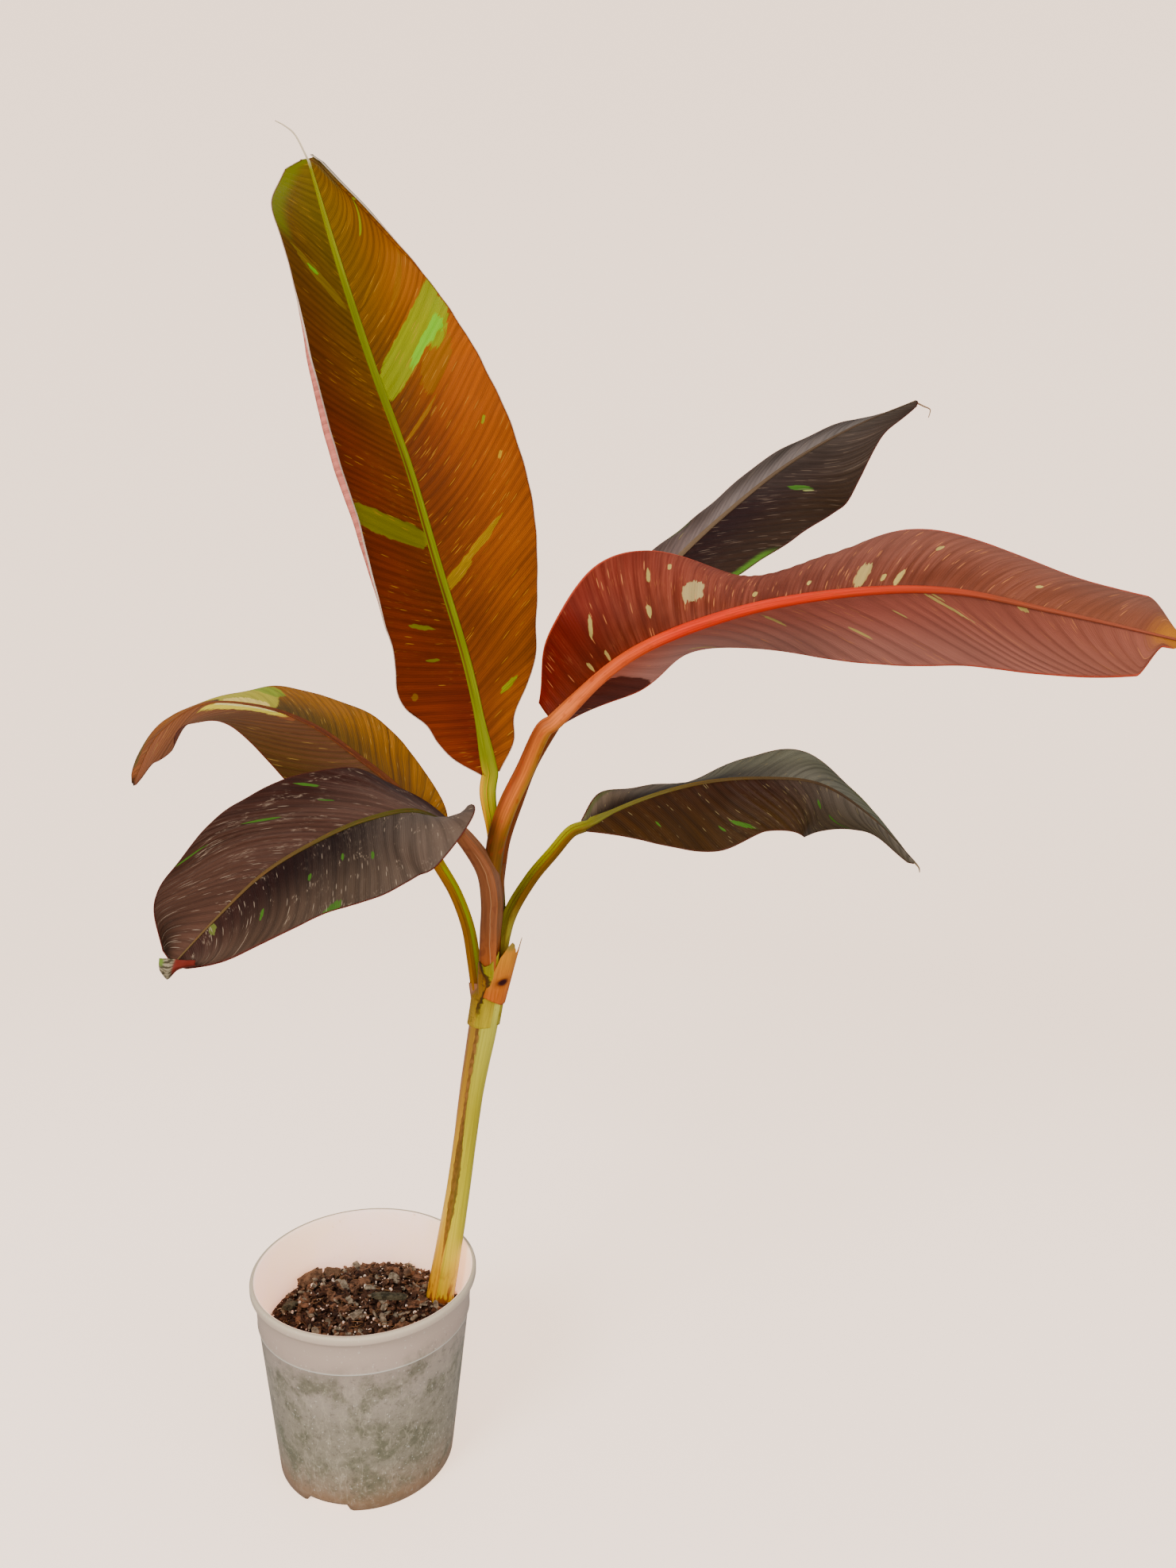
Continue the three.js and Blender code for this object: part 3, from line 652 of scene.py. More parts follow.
def crown_wrap(material):
    rows, columns = 40, 110
    share = np.linspace(0, 1, columns)[None, :]
    top = sample(WRAP_TOP, share) + 0.5 * waves(share, 0.09, 81)
    up = np.linspace(0, 1, rows)[:, None]
    z = WRAP_LOW + (top - WRAP_LOW) * up
    angle = np.radians(WRAP_SPAN[0] + (WRAP_SPAN[1] - WRAP_SPAN[0]) * share) + 0 * up
    axis = sample(WRAP_AXIS, (z - WRAP_LOW) / WRAP_RISE)
    way = stacked(np.cos(angle), np.sin(angle))
    reach = np.zeros_like(z)
    for points, radius, last in WRAP_LIMBS:
        cx, cy = centre_at(points, np.minimum(z, last))
        cx, cy = cx - axis[..., 0], cy - axis[..., 1]
        size = radius * np.clip((last + WRAP_FADE - z) / WRAP_FADE, 0.2, 1)
        along = cx * way[..., 0] + cy * way[..., 1]
        off = np.abs(cx * way[..., 1] - cy * way[..., 0])
        touch = along + np.sqrt(np.maximum(size ** 2 - off ** 2, 0))
        reach = np.maximum(reach, np.where(off < size, touch, 0))
    for _ in range(SMOOTHING_ROUNDS):
        spread = np.pad(reach, ((1, 1), (1, 1)), "edge")
        ring = (spread[:-2, 1:-1] + spread[2:, 1:-1] + spread[1:-1, :-2] + spread[1:-1, 2:]) / 4
        reach = np.maximum(reach, 0.5 * (reach + ring))
    reach = reach + WRAP_STAND + WRAP_FLARE * ease(up) + 0.25 * waves(share * 60 + 0.2 * z, 5, 82)
    reach = reach + 0.5 * ease((share - 0.66) / 0.03) * (1 - ease((share - 0.7) / 0.3))

    def skin(r):
        return stacked(axis[..., 0] + way[..., 0] * r, axis[..., 1] + way[..., 1] * r, z)

    uvs = {"Wrap": skin_places(angle, z)}
    slab("crown_sheath", skin(reach), skin(reach - WRAP_THICK), [material], uvs, "stem_green")


# Pot and soil

def wall_radius(z):
    return POT_FOOT_R + (POT_STEP_R - POT_FOOT_R) * z / POT_STEP_Z


CRISP_GAP = 0.35  # how close to a corner of the pot's profile its extra points lie


# Profile with extra points close to each corner, so that smooth shading keeps the corners crisp
def crisp(profile):
    points = [np.array(p, float) for p in profile]
    out = [points[0]]
    for before, corner, after in zip(points, points[1:], points[2:]):
        for other in (before, after):
            gap = other - corner
            out.append(corner + gap * min(CRISP_GAP / max(np.linalg.norm(gap), 1e-6), 0.3))
    return out + [points[-1]]


def pot(material, inside_material):
    outside = [
        (0, 0), (50, 0), (53, 3), (65, 3), (66.5, 0), (POT_FOOT_R, 0), (wall_radius(8), 8),
        (wall_radius(60), 60), (wall_radius(100), 100), (POT_STEP_R, POT_STEP_Z), (87.1, 130.8),
        (86.7, 132.4), (87.5, 145), (88.3, 158), (91.4, 158.6), (POT_RIM_R, 160.2), (POT_RIM_R, 164.4),
        (91.2, POT_HEIGHT),
    ]
    inside = [
        (88.8, POT_HEIGHT), (87.6, 164.6), (86.9, 156), (POT_STEP_R - POT_WALL, POT_STEP_Z),
        (wall_radius(60) - POT_WALL, 60), (wall_radius(6) - POT_WALL, 6), (69.5, 4.4), (52, 4.4),
        (49, POT_WALL), (0, POT_WALL),
    ]
    profile = np.array(crisp(outside + inside))
    angle = np.linspace(0, TURN, POT_SIDES, endpoint=False)
    r, z = (np.repeat(profile[1:-1, k:k + 1], POT_SIDES, 1) for k in (0, 1))
    lift = np.zeros(POT_SIDES)
    for azimuth in NOTCH_AZIMUTHS:
        away = np.abs(np.degrees(np.angle(np.exp(1j * (angle - math.radians(azimuth))))))
        lift = np.maximum(lift, NOTCH_HEIGHT * (1 - ease((away - NOTCH_HALF) / NOTCH_SIDE)))
    z = np.where((r > FOOT_RING_R) & (z < 5.6), np.maximum(z, lift[None, :]), z)
    oval = 1 + POT_OVAL * np.cos(2 * angle + 0.6) * np.clip(z / POT_HEIGHT, 0, 1)
    grid = np.stack([r * np.cos(angle) * oval, r * np.sin(angle) * oval, z], -1)
    rows = len(grid)
    faces = tube_faces(rows, POT_SIDES)
    points = np.concatenate([grid.reshape(-1, 3), [[0, 0, 0], [0, 0, POT_WALL]]])
    slots = np.zeros(len(faces), int)
    slots[(2 * len(outside) - 2) * POT_SIDES:(rows - 1) * POT_SIDES] = 1
    slots[-POT_SIDES:] = 1
    obj = add_object("nursery_pot", points, faces, [material, inside_material], slots=slots)
    piece(obj, "pot_plastic", "pot")


def soil_height(x, y):
    fall = 1 - np.minimum(1, np.hypot(x, y) / wall_radius(SOIL_LEVEL)) ** 4
    rise = SOIL_CROWN
    for (hx, hy), height, radius in HEAPS:
        rise = rise + height * np.exp(-((x - hx) ** 2 + (y - hy) ** 2) / radius ** 2)
    return SOIL_LEVEL + fall * rise


def soil(material):
    sides, rings = 120, 60
    inset = POT_WALL + SOIL_GAP
    angle = np.linspace(0, TURN, sides, endpoint=False)[None, :]
    radius = np.linspace(0.01, 1, rings)[:, None] * (wall_radius(SOIL_LEVEL) - inset)
    x, y = radius * np.cos(angle), radius * np.sin(angle)
    rough = 0.9 * waves(x + 0.3 * y, 7, 41) * waves(y - 0.4 * x, 6, 42) + 0.5 * waves(x + y, 3.1, 43)
    top = stacked(x, y, soil_height(x, y) - BED_SINK + rough)
    depth = np.linspace(SOIL_LEVEL - 2, SOIL_FLOOR, 12)[:, None]
    side_r = wall_radius(depth) - inset
    grid = np.concatenate([top, stacked(side_r * np.cos(angle), side_r * np.sin(angle), depth)])
    points = np.concatenate([grid.reshape(-1, 3), [top[0].mean(0)], [[0, 0, SOIL_FLOOR]]])
    obj = add_object("soil_bed", points, tube_faces(len(grid), sides, flip=True), [material])
    piece(obj, "potting_mix", "soil")


# Random places on the soil, clear of the pot's wall and of the stem
def soil_places(rng, count, clear):
    limit = wall_radius(SOIL_LEVEL) - POT_WALL - 1 - clear
    radius = limit * np.sqrt(rng.random(count))
    angle = TURN * rng.random(count)
    stem_x, stem_y = STEM_FOOT
    x, y = radius * np.cos(angle) - stem_x, radius * np.sin(angle) - stem_y
    away, free = np.hypot(x, y), STEM_CLEAR + clear / 2
    push = np.where(away < free, free / np.maximum(away, 0.1), 1)
    x, y = stem_x + x * push, stem_y + y * push
    keep = np.hypot(x, y) < limit + 0.5
    return x[keep], y[keep]


def ball(level):
    shape = bmesh.new()
    bmesh.ops.create_icosphere(shape, subdivisions=level, radius=1)
    points = np.array([v.co[:] for v in shape.verts])
    faces = np.array([[v.index for v in f.verts] for f in shape.faces])
    shape.free()
    return points, faces


# Matrices that turn by the given angles about an axis: 0 for X, 1 for Y, 2 for Z
def about(axis, angles):
    matrices = np.tile(np.eye(3), (len(angles), 1, 1))
    i, j = (axis + 1) % 3, (axis + 2) % 3
    matrices[:, i, i] = matrices[:, j, j] = np.cos(angles)
    matrices[:, j, i] = np.sin(angles)
    matrices[:, i, j] = -np.sin(angles)
    return matrices


def rotations(rng, count, tilt):
    turn = TURN * rng.random(count)
    lean = tilt * rng.normal(size=count)
    roll = tilt * rng.normal(size=count)
    return about(2, turn) @ about(0, lean) @ about(1, roll)


# The same faces for each of many copies of a mesh with the given number of points
def copied_faces(faces, points, copies):
    return (faces[None] + (np.arange(copies) * points)[:, None, None]).reshape(-1, faces.shape[1])


BLOCKY = 0.62
ROUNDISH = 0.85


# Many rough lumps in one mesh, each with its own size and turn. The lower square is, the blockier they are;
# rough is how uneven they are as a share of their size, and tilt how far they lean, in radians
def lumps(name, rng, x, y, sizes, lift, square, rough, tilt, material, level=2):
    base, base_faces = ball(level)
    count = len(x)
    shape = np.sign(base) * np.abs(base) ** square
    shape = shape[None] * (1 + rough * rng.normal(size=(count, len(base), 1)))
    shape = shape * sizes[:count, None, :] / 2
    shape = np.einsum("nij,npj->npi", rotations(rng, count, tilt), shape)
    centre = stacked(x, y, soil_height(x, y) + lift[:count])
    points = (shape + centre[:, None]).reshape(-1, 3)
    faces = copied_faces(base_faces, len(base), count)
    piece(add_object(name, points, faces, [material], smooth=False), "potting_mix")


def bark(name, seed, count, longest, lift, material):
    rng = np.random.default_rng(seed)
    x, y = soil_places(rng, count, longest / 2)
    length = longest * (0.35 + 0.65 * rng.random(count) ** 2)
    width = length * (0.35 + 0.4 * rng.random(count))
    thick = length * (0.14 + 0.22 * rng.random(count))
    sizes = stacked(length, width, thick)
    lumps(name, rng, x, y, sizes, lift + 1.6 * rng.random(count), BLOCKY, 0.1, 0.35, material)


# The largest chips, each in its place: x, y, length, width and thickness
def chips(name, seed, pieces, material):
    x, y, *sizes = np.array(pieces, float).T
    rng, lift = np.random.default_rng(seed), np.full(len(x), 3.0)
    lumps(name, rng, x, y, stacked(*sizes), lift, BLOCKY, 0.07, 0.25, material, level=3)


def perlite(material):
    rng = np.random.default_rng(61)
    count = PERLITE_COUNT
    x, y = soil_places(rng, count, 1)
    size = 1.0 + 2.4 * rng.random(count) ** 3
    sizes = stacked(size, size * 0.85, size * 0.75)
    lumps("perlite", rng, x, y, sizes, 0.8 + 1.5 * rng.random(count), ROUNDISH, 0.1, 1.5, material)


def fibres(material):
    rng = np.random.default_rng(71)
    x, y = soil_places(rng, FIBRE_COUNT, 6)
    count = len(x)
    steps, sides = 6, 4
    heading = TURN * rng.random(count)
    length = 4 + 9 * rng.random(count)
    along = np.linspace(-0.5, 0.5, steps)
    bend = 3 * rng.normal(size=count)
    way = stacked(np.cos(heading), np.sin(heading))
    off = stacked(-way[:, 1], way[:, 0])
    flat = way[:, None] * (along * length[:, None])[..., None]
    flat = flat + off[:, None] * (bend[:, None] * (along ** 2 * 4 - 0.5))[..., None]
    base = soil_height(x, y)[:, None] + 2 + 1.4 * rng.random((count, 1))
    rise = base + (2.2 * rng.random((count, 1)) - 0.4) * along
    centre = np.concatenate([flat + stacked(x, y)[:, None], rise[..., None]], -1)
    turn = TURN * np.arange(sides) / sides
    ring = np.stack([off[:, None] * np.cos(turn)[None, :, None], np.zeros((count, sides, 2))], -1)[..., 0]
    ring = np.concatenate([ring, np.broadcast_to(np.sin(turn)[None, :, None], (count, sides, 1))], -1)
    thick = 0.14 + 0.2 * rng.random((count, 1, 1, 1))
    points = (centre[:, :, None] + ring[:, None] * thick).reshape(-1, 3)
    caps = np.array([[3, 2, 1, 0], [(steps - 1) * sides + k for k in range(sides)]])
    one = np.concatenate([grid_faces(steps, sides, closed=True), caps])
    faces = copied_faces(one, steps * sides, count)
    piece(add_object("fibres", points, faces, [material]), "potting_mix")


# Materials

VEIL = 0.006  # light that a surface's gloss adds to each colour


# Base colour of a surface that looks like the given sRGB colour, 0 to 255, where share is 1 in full light
def rgb(red, green, blue, share=1.0):
    linear = [c / 255 / 12.92 if c < 11 else ((c / 255 + 0.055) / 1.055) ** 2.4 for c in (red, green, blue)]
    return (*(min(max(share * c * (1 + 0.3 * c) - VEIL, 0.001), 0.95) for c in linear), 1.0)


# A value at each place of a surface, from a node. Sums with it add their own nodes
class Value:
    def __init__(self, shader, socket):
        self.shader = shader
        self.socket = socket

    def __add__(self, other):
        return self.shader.math("ADD", self, other)

    def __radd__(self, other):
        return self.shader.math("ADD", other, self)

    def __sub__(self, other):
        return self.shader.math("SUBTRACT", self, other)

    def __rsub__(self, other):
        return self.shader.math("SUBTRACT", other, self)

    def __mul__(self, other):
        return self.shader.math("MULTIPLY", self, other)

    def __truediv__(self, other):
        return self.shader.math("DIVIDE", self, other)

    def __abs__(self):
        return self.shader.math("ABSOLUTE", self)

    # Rises smoothly from 0 at low to 1 at high, or falls where low is the higher
    def rise(self, low, high):
        inputs = {"Value": self, "From Min": low, "From Max": high}
        return self.shader.value("MapRange", inputs, interpolation_type="SMOOTHSTEP")

    # One between two numbers, with soft ends
    def band(self, low, high, soft):
        return self.rise(low - soft, low + soft) * self.rise(high + soft, high - soft)


# A colour for a node: a value, or the numbers of rgb
def tone(colour):
    return colour if isinstance(colour, Value) else rgb(*colour)


# A material's nodes, with short calls for the ones that materials share. Its base is the colour so far
class Shader:
    def __init__(self, name, gloss, roughness=0.5, **settings):
        self.material = bpy.data.materials.new(name)
        self.material.use_nodes = True
        self.tree = self.material.node_tree
        self.tree.nodes.clear()
        self.base = None
        inputs = {"Roughness": roughness, "Specular IOR Level": gloss, **settings}
        self.surface = self.node("BsdfPrincipled", inputs)
        self.node("OutputMaterial", {"Surface": self.surface.outputs[0]})

    def feed(self, socket, value):
        value = value.socket if isinstance(value, Value) else value
        if isinstance(value, bpy.types.NodeSocket):
            self.tree.links.new(value, socket)
        else:
            socket.default_value = value

    def node(self, kind, inputs, **settings):
        node = self.tree.nodes.new("ShaderNode" + kind)
        for key, value in settings.items():
            setattr(node, key, value)
        for key, value in inputs.items():
            self.feed(node.inputs[key], value)
        return node

    def value(self, kind, inputs, output=0, **settings):
        return Value(self, self.node(kind, inputs, **settings).outputs[output])

    def math(self, operation, a, b=0.0):
        return self.value("Math", {0: a, 1: b}, operation=operation)

    def vector(self, x, y, z):
        return self.value("CombineXYZ", {0: x, 1: y, 2: z})

    # The two texture places with the given label, each times a scale
    def place(self, label, *scales):
        split = self.node("SeparateXYZ", {0: self.node("UVMap", {}, uv_map=label).outputs[0]})
        return [Value(self, socket) * scale for socket, scale in zip(split.outputs, scales)]

    def point(self):
        return self.value("TexCoord", {}, "Object")

    # Noise of one or two values, each divided by its own size
    def noise(self, x, x_size, y=0.0, y_size=1.0, seed=0.0, detail=2.0, rough=0.5):
        return self.noise_at(self.vector(x / x_size, y / y_size, seed), 1.0, detail, rough)

    def noise_at(self, vector, scale, detail=2.0, rough=0.5):
        inputs = {"Vector": vector, "Scale": scale, "Detail": detail, "Roughness": rough}
        return self.value("TexNoise", inputs)

    # Random number and distance from the middle of the cell round a place
    def cells(self, x, x_size, y, y_size, seed):
        vector = self.vector(x / x_size, y / y_size, seed)
        node = self.node("TexVoronoi", {"Vector": vector, "Scale": 1.0})
        chance = self.value("SeparateColor", {0: node.outputs["Color"]})
        return chance, Value(self, node.outputs["Distance"])

    def mix(self, share, a, b):
        return self.value("Mix", {0: share, 6: tone(a), 7: tone(b)}, 2, data_type="RGBA")

    # A colour times a factor, or a factor for each of red, green and blue
    def scaled(self, colour, factor):
        inputs = {0: 1.0, 6: tone(colour), 7: (*np.ones(3) * factor, 1)}
        return self.value("Mix", inputs, 2, data_type="RGBA", blend_type="MULTIPLY")

    # A colour made darker to lighter by a value from 0 to 1
    def shaded(self, value, colour, dark, light):
        return self.mix(value, self.scaled(colour, dark), self.scaled(colour, light))

    def shade(self, value, dark, light):
        self.base = self.shaded(value, self.base, dark, light)

    # Lays a colour over the base by a share from 0 to 1
    def lay(self, share, colour):
        self.base = self.mix(share, self.base, colour)

    # Blend of colours along a value; stops are pairs of place and colour
    def ramp(self, value, stops):
        node = self.node("ValToRGB", {0: value})
        elements = node.color_ramp.elements
        while len(elements) < len(stops):
            elements.new(0.5)
        for element, (place, _) in zip(elements, stops):
            element.position = place
        for element, (_, colour) in zip(elements, stops):
            element.color = rgb(*colour)
        return Value(self, node.outputs[0])

    # The finished material, with fine relief from a height, its depth in metres, and a roughness
    def done(self, height=None, depth=0.0, roughness=None):
        if height is not None:
            relief = self.node("Bump", {"Height": height, "Distance": depth, "Strength": 1.0})
            self.feed(self.surface.inputs["Normal"], relief.outputs[0])
        if roughness is not None:
            self.feed(self.surface.inputs["Roughness"], roughness)
        self.feed(self.surface.inputs["Base Color"], self.base)
        return self.material


# A variegated patch, or a patch of painted shade, is side, place along the midrib, size along it, distance
# out from it, size outwards and colour. Then come its slant, the squareness of its ends and its strength,
# where they aren't the usual ones
USUAL_PATCH = (0.0, 6.0, 0.9)


# Share of a patch at each place, with ragged ends that follow the veins
def patch_share(sh, foot, out, fibre, waver, spec):
    side, at, tall, middle, long, _, *more = spec
    slant, square, strength = (*more, *USUAL_PATCH[len(more):])
    across = out * side - middle
    ragged = across + fibre * min(5.0, 0.22 * long)
    share_out = sh.math("POWER", abs(ragged / (long / 2)), square)
    along = foot - at - across * slant + waver * min(1.6, 0.25 * tall)
    soft = 0.5 / tall + 0.04
    return (abs(along / (tall / 2)) + share_out).rise(1 + soft, 1 - soft) * strength


# One face of a blade. Its left and right half are how much lighter the paint is than what shows, since the
# half turns away from the light, and its colours from base to tip near the midrib and near the margin. rims
# are strips along a margin: side, first and last place along the midrib, width, colour and strength
# painted_sheen lists painted highlights: first and last share of the length, side, colour and strength
def leaf_look(name, length, left, right, groove, fleck, margin, patches=(), rims=(), flecks=0.1,
              fleck_length=12.0, scuffs=None, painted_sheen=(), stripes=None, tip=None, gloss=0.1, groove_shade=0.5,
              contrast=0.3):
    sh = Shader(name, gloss)
    foot, out = sh.place("Vein", TO_MM, TO_MM)
    edge, pleat = sh.place("Edge", TO_MM, 1.0)
    away = abs(out)
    broad = sh.noise(foot, 36.0, out, 55.0, 3.0, detail=3.0)
    streak = sh.noise(foot, 2.4, out, 60.0, 7.0, detail=3.0, rough=0.6)
    fine = sh.noise(foot, 0.8, out, 24.0, 1.0)
    fibre = (sh.noise(foot, 1.3, out, 40.0, 9.0) - 0.5) * 3.0
    waver = (sh.noise(out, 8.0, foot, 60.0, 4.0) - 0.5) * 3.0
    bands = sh.noise(foot, 6.0, out, 90.0, 14.0)
    outward = (away / (away + sh.math("MAXIMUM", edge, 0.0))).rise(0.1, 0.85)
    along = foot / float(length)

    # Ground colour, with light and dark streaks along the veins, and painted light and shade on the pleats
    tones = []
    for light, *rows in (left, right):
        ramps = []
        for row in rows:
            places = np.linspace(0.1, 0.9, len(row))
            ramps.append(sh.ramp(along, [(at, (*colour, light)) for at, colour in zip(places, row)]))
        tones.append(sh.mix(outward, *ramps))
    sh.base = sh.mix(out.rise(-0.4, 0.4), *tones)
    # The pleats' ridges add to it: painted light on the raised parts of the blade
    light = broad * 0.5 + (streak * 0.55 + fine * 0.3) + (bands * 0.5 + pleat.rise(0.0, 1.0) * 0.2)
    shade = light.rise(0.66, 1.32)
    sh.shade(shade, 1 - contrast, 1 + contrast)
    # Painted sheen: a lighter colour laid where the blade shows a glossy reflection
    for first, last, side, colour, strength in painted_sheen:
        here = along.band(first, last, 0.12) * (out * side).rise(-2.0, 6.0)
        painted_glow = broad.rise(0.3, 0.6) * streak.rise(0.3, 0.7)
        sh.lay(here * painted_glow * strength, colour)
    if stripes:
        spacing, colour, strength = stripes
        wave = sh.math("SINE", (foot + broad * 5.0) * (TURN / spacing))
        sh.lay(wave.rise(0.5, 1.0) * strength, colour)
    # Painted shade in the pleats' grooves, in the groove colour
    sh.lay(pleat.rise(-0.4, -0.95) * groove_shade, groove)

    # Variegation, patches of painted shade, flecks and scuffs
    for spec in patches:
        sh.lay(patch_share(sh, foot, out, fibre, waver, spec), sh.shaded(shade, spec[5], 0.8, 1.1))
    hair = sh.noise(foot, 0.42, out, fleck_length, 12.0, detail=1.0).rise(0.64, 0.74)
    sh.lay(hair * broad.rise(0.42, 0.62) * min(5 * flecks, 0.5), fleck)
    chance, distance = sh.cells(foot, 0.95, out, fleck_length, 5.0)
    limit = 1.0 - broad.rise(0.3, 0.7) * (2 * flecks)
    sh.lay(sh.math("GREATER_THAN", chance, limit) * distance.rise(0.42, 0.24) * 0.6, fleck)
    if scuffs:
        colour, amount = scuffs
        worn = sh.noise(foot, 17.0, out, 15.0, 21.0, detail=3.0, rough=0.65)
        worn = worn.rise(0.62 - amount, 0.74 - amount)
        grit = sh.noise(foot, 1.4, out, 3.4, 22.0, detail=3.0, rough=0.7).rise(0.5, 0.66)
        sh.lay(worn * grit * 0.7, colour)

    # Margins and tip
    for side, first, last, width, colour, strength in rims:
        near = (edge + fibre * (0.12 * width)).rise(width, 0.35 * width)
        here = foot.band(first, last, min(10.0, (last - first) / 4)) * (out * side).rise(-0.4, 0.4)
        sh.lay(near * here * strength, colour)
    sh.lay(edge.band(-1.2, 0.5, 0.45) * 0.8, margin)
    if tip:
        start, end, colour = tip
        sh.lay((foot + fibre * 5.0).rise(start, end), colour)
    ripple = sh.math("SINE", foot * (TURN / 1.7))
    return sh.done(ripple * 0.3 + fine, 0.00018, 0.42 + streak * 0.16)


# A petiole and midrib: colours round the petiole (top, right, under, left) and along the midrib (base to
# tip). foot is a colour that it turns to between two places on its way down, trough a line in the midrib
# between two shares of its length, and line a thin pale line on the petiole: share round it, first and last
# place, colour and width
def stalk_look(name, petiole, rib, length, light, foot=None, trough=None, line=None, thread=None,
               blotches=None):
    sh = Shader(name, 0.1)
    along, share = sh.place("Stalk", TO_MM, 1.0)
    grain = sh.noise(along, 40.0, share, 1 / 26, 2.0, detail=3.0)
    blotch = sh.noise(along, 11.0, share, 1 / 7, 5.0)
    top, right, under, left = ((*colour, light) for colour in petiole)
    sh.base = sh.ramp(share + (grain - 0.5) * 0.06, [
        (0.0, top), (0.06, top), (0.16, right), (0.36, right), (0.5, under), (0.64, left), (0.86, left),
        (0.95, top), (1.0, top),
    ])
    if foot:
        colour, start, end = foot
        sh.lay((along + grain * 14.0).rise(start, end) * 0.85, (*colour, light))
    rib_share = along / float(length)
    ribbed = sh.ramp(rib_share, [(k / (len(rib) - 1), (*colour, light)) for k, colour in enumerate(rib)])
    if trough:
        colour, first, last = trough
        here = rib_share.band(first, last, 0.08) * share.band(0.885, 0.985, 0.02)
        ribbed = sh.mix(here * 0.8, ribbed, (*colour, light))
    sh.lay((along + grain * 20.0).rise(-6.0, 26.0), ribbed)
    sh.shade(grain.rise(0.3, 0.7), (0.8, 0.78, 0.76), (1.14, 1.13, 1.1))
    if blotches:
        sh.lay(blotch.rise(0.56, 0.7) * 0.45, (*blotches, light))
    if line:
        at, first, last, colour, wide = line
        wander = share + (sh.noise(along, 22.0) - 0.5) * 0.05
        thin = abs(sh.math("FRACT", wander + (0.5 - at)) - 0.5).rise(1.6 * wide, 0.6 * wide)
        sh.lay(thin * along.band(first, last, 5.0) * 0.8, (*colour, light))
    if thread:
        sh.lay(rib_share.rise(0.98, 1.01), thread)
    return sh.done(grain, 0.0002, 0.36 + blotch * 0.16)


# Stem: colours by height above its foot and by the way round, with the dried edge of its outer sheath
def stem_look():
    sh = Shader("stem_green", 0.25)
    along, degrees = sh.place("Stalk", TO_MM, 360.0)
    grain = sh.noise(along, 60.0, degrees, 7.0, 2.0, detail=4.0)
    fine = sh.noise(along, 6.0, degrees, 16.0, 8.0, detail=3.0)
    blotch = sh.noise(along, 13.0, degrees, 26.0, 4.0, detail=3.0)
    high = along / 290.0
    pale = sh.ramp(high, [
        (0.0, (172, 152, 8)), (0.25, (202, 192, 40, 1.1)), (0.6, (200, 186, 40)),
        (1.0, (224, 214, 84, 1.1)),
    ])
    gold = sh.ramp(high, [
        (0.0, (186, 140, 6)), (0.3, (214, 178, 34, 1.15)), (0.62, (200, 150, 44, 1.1)),
        (0.85, (208, 160, 50)), (1.0, (208, 168, 50)),
    ])
    brown = sh.ramp(high, [
        (0.0, (146, 90, 40)), (0.3, (108, 72, 38)), (0.5, (106, 70, 38)), (0.7, (150, 100, 52)),
        (1.0, (160, 108, 60)),
    ])
    sh.base = sh.mix(degrees.band(150.0, 256.0, 5.0), pale, gold)
    # A pinkish strip down its left side, in its upper part: painted highlight
    sh.lay(degrees.band(168.0, 206.0, 16.0) * high.rise(0.35, 0.75), (206, 140, 96))
    sh.shade(grain.rise(0.3, 0.7), (0.84, 0.82, 0.74), 1.05)

    # The scar up its left side, widest low down
    wander = (blotch - 0.5) * 15.0
    wide = along.band(66.0, 290.0, 30.0) * (fine * 16.0 + 1.0)
    thick = along.band(60.0, 150.0, 25.0) * 10.0
    scar = (abs(degrees + wander - 250.0) - (wide + thick)).rise(3.0, -1.0)
    sh.lay(scar * 0.85, sh.shaded(fine.rise(0.35, 0.65), brown, 0.6, 1.3))

    # Marks at its foot, and specks
    low = along.rise(40.0, 6.0) * (blotch * 0.7 + fine * 0.3).rise(0.48, 0.56)
    sh.lay(low * 0.9, (112, 52, 34))
    sh.lay(fine.rise(0.68, 0.74) * 0.4, (168, 116, 60))
    return sh.done(grain, 0.0005, 0.34 + scar * 0.35)


# Top of the outer sheath round the petioles' feet: golden left of its dark wrinkled crack, lime right of it
def wrap_look():
    sh = Shader("stem_crown", 0.22)
    around, z = sh.place("Wrap", TO_MM, TO_MM)
    grain = sh.noise(z, 26.0, around, 1.6, 2.0, detail=3.0)
    wrinkle = sh.noise(z, 3.2, around, 5.0, 6.0, detail=3.0)
    swing = z.rise(388.0, 411.0) * z.rise(431.0, 412.0) * 4.6
    past = around - (-20.2 + swing + (wrinkle - 0.5) * 4.0)
    height = (z - 370.0) / 60.0
    gold = sh.ramp(height, [
        (0.0, (208, 172, 44)), (0.3, (206, 168, 44)), (0.6, (190, 138, 34)), (1.0, (172, 116, 14)),
    ])
    gold = sh.mix(around.rise(-27.0, -33.0), gold, (216, 156, 112))
    lime = sh.ramp(height, [
        (0.0, (214, 192, 40)), (0.5, (192, 168, 40)), (0.85, (176, 162, 24)), (1.0, (170, 156, 40)),
    ])
    sh.base = sh.mix(past.rise(-0.5, 0.8), gold, lime)
    sh.shade(grain.rise(0.3, 0.7), (0.78, 0.75, 0.7), 1.08)
    dark = abs(past).rise(0.6 + wrinkle * 2.6, wrinkle * 1.2) * z.rise(378.0, 390.0)
    sh.lay(dark * 0.85, (66, 34, 18))
    sh.lay(wrinkle.rise(0.54, 0.62) * past.band(-5.0, 0.0, 2.5) * 0.5, (96, 56, 26))
    return sh.done(grain + wrinkle, 0.0006)


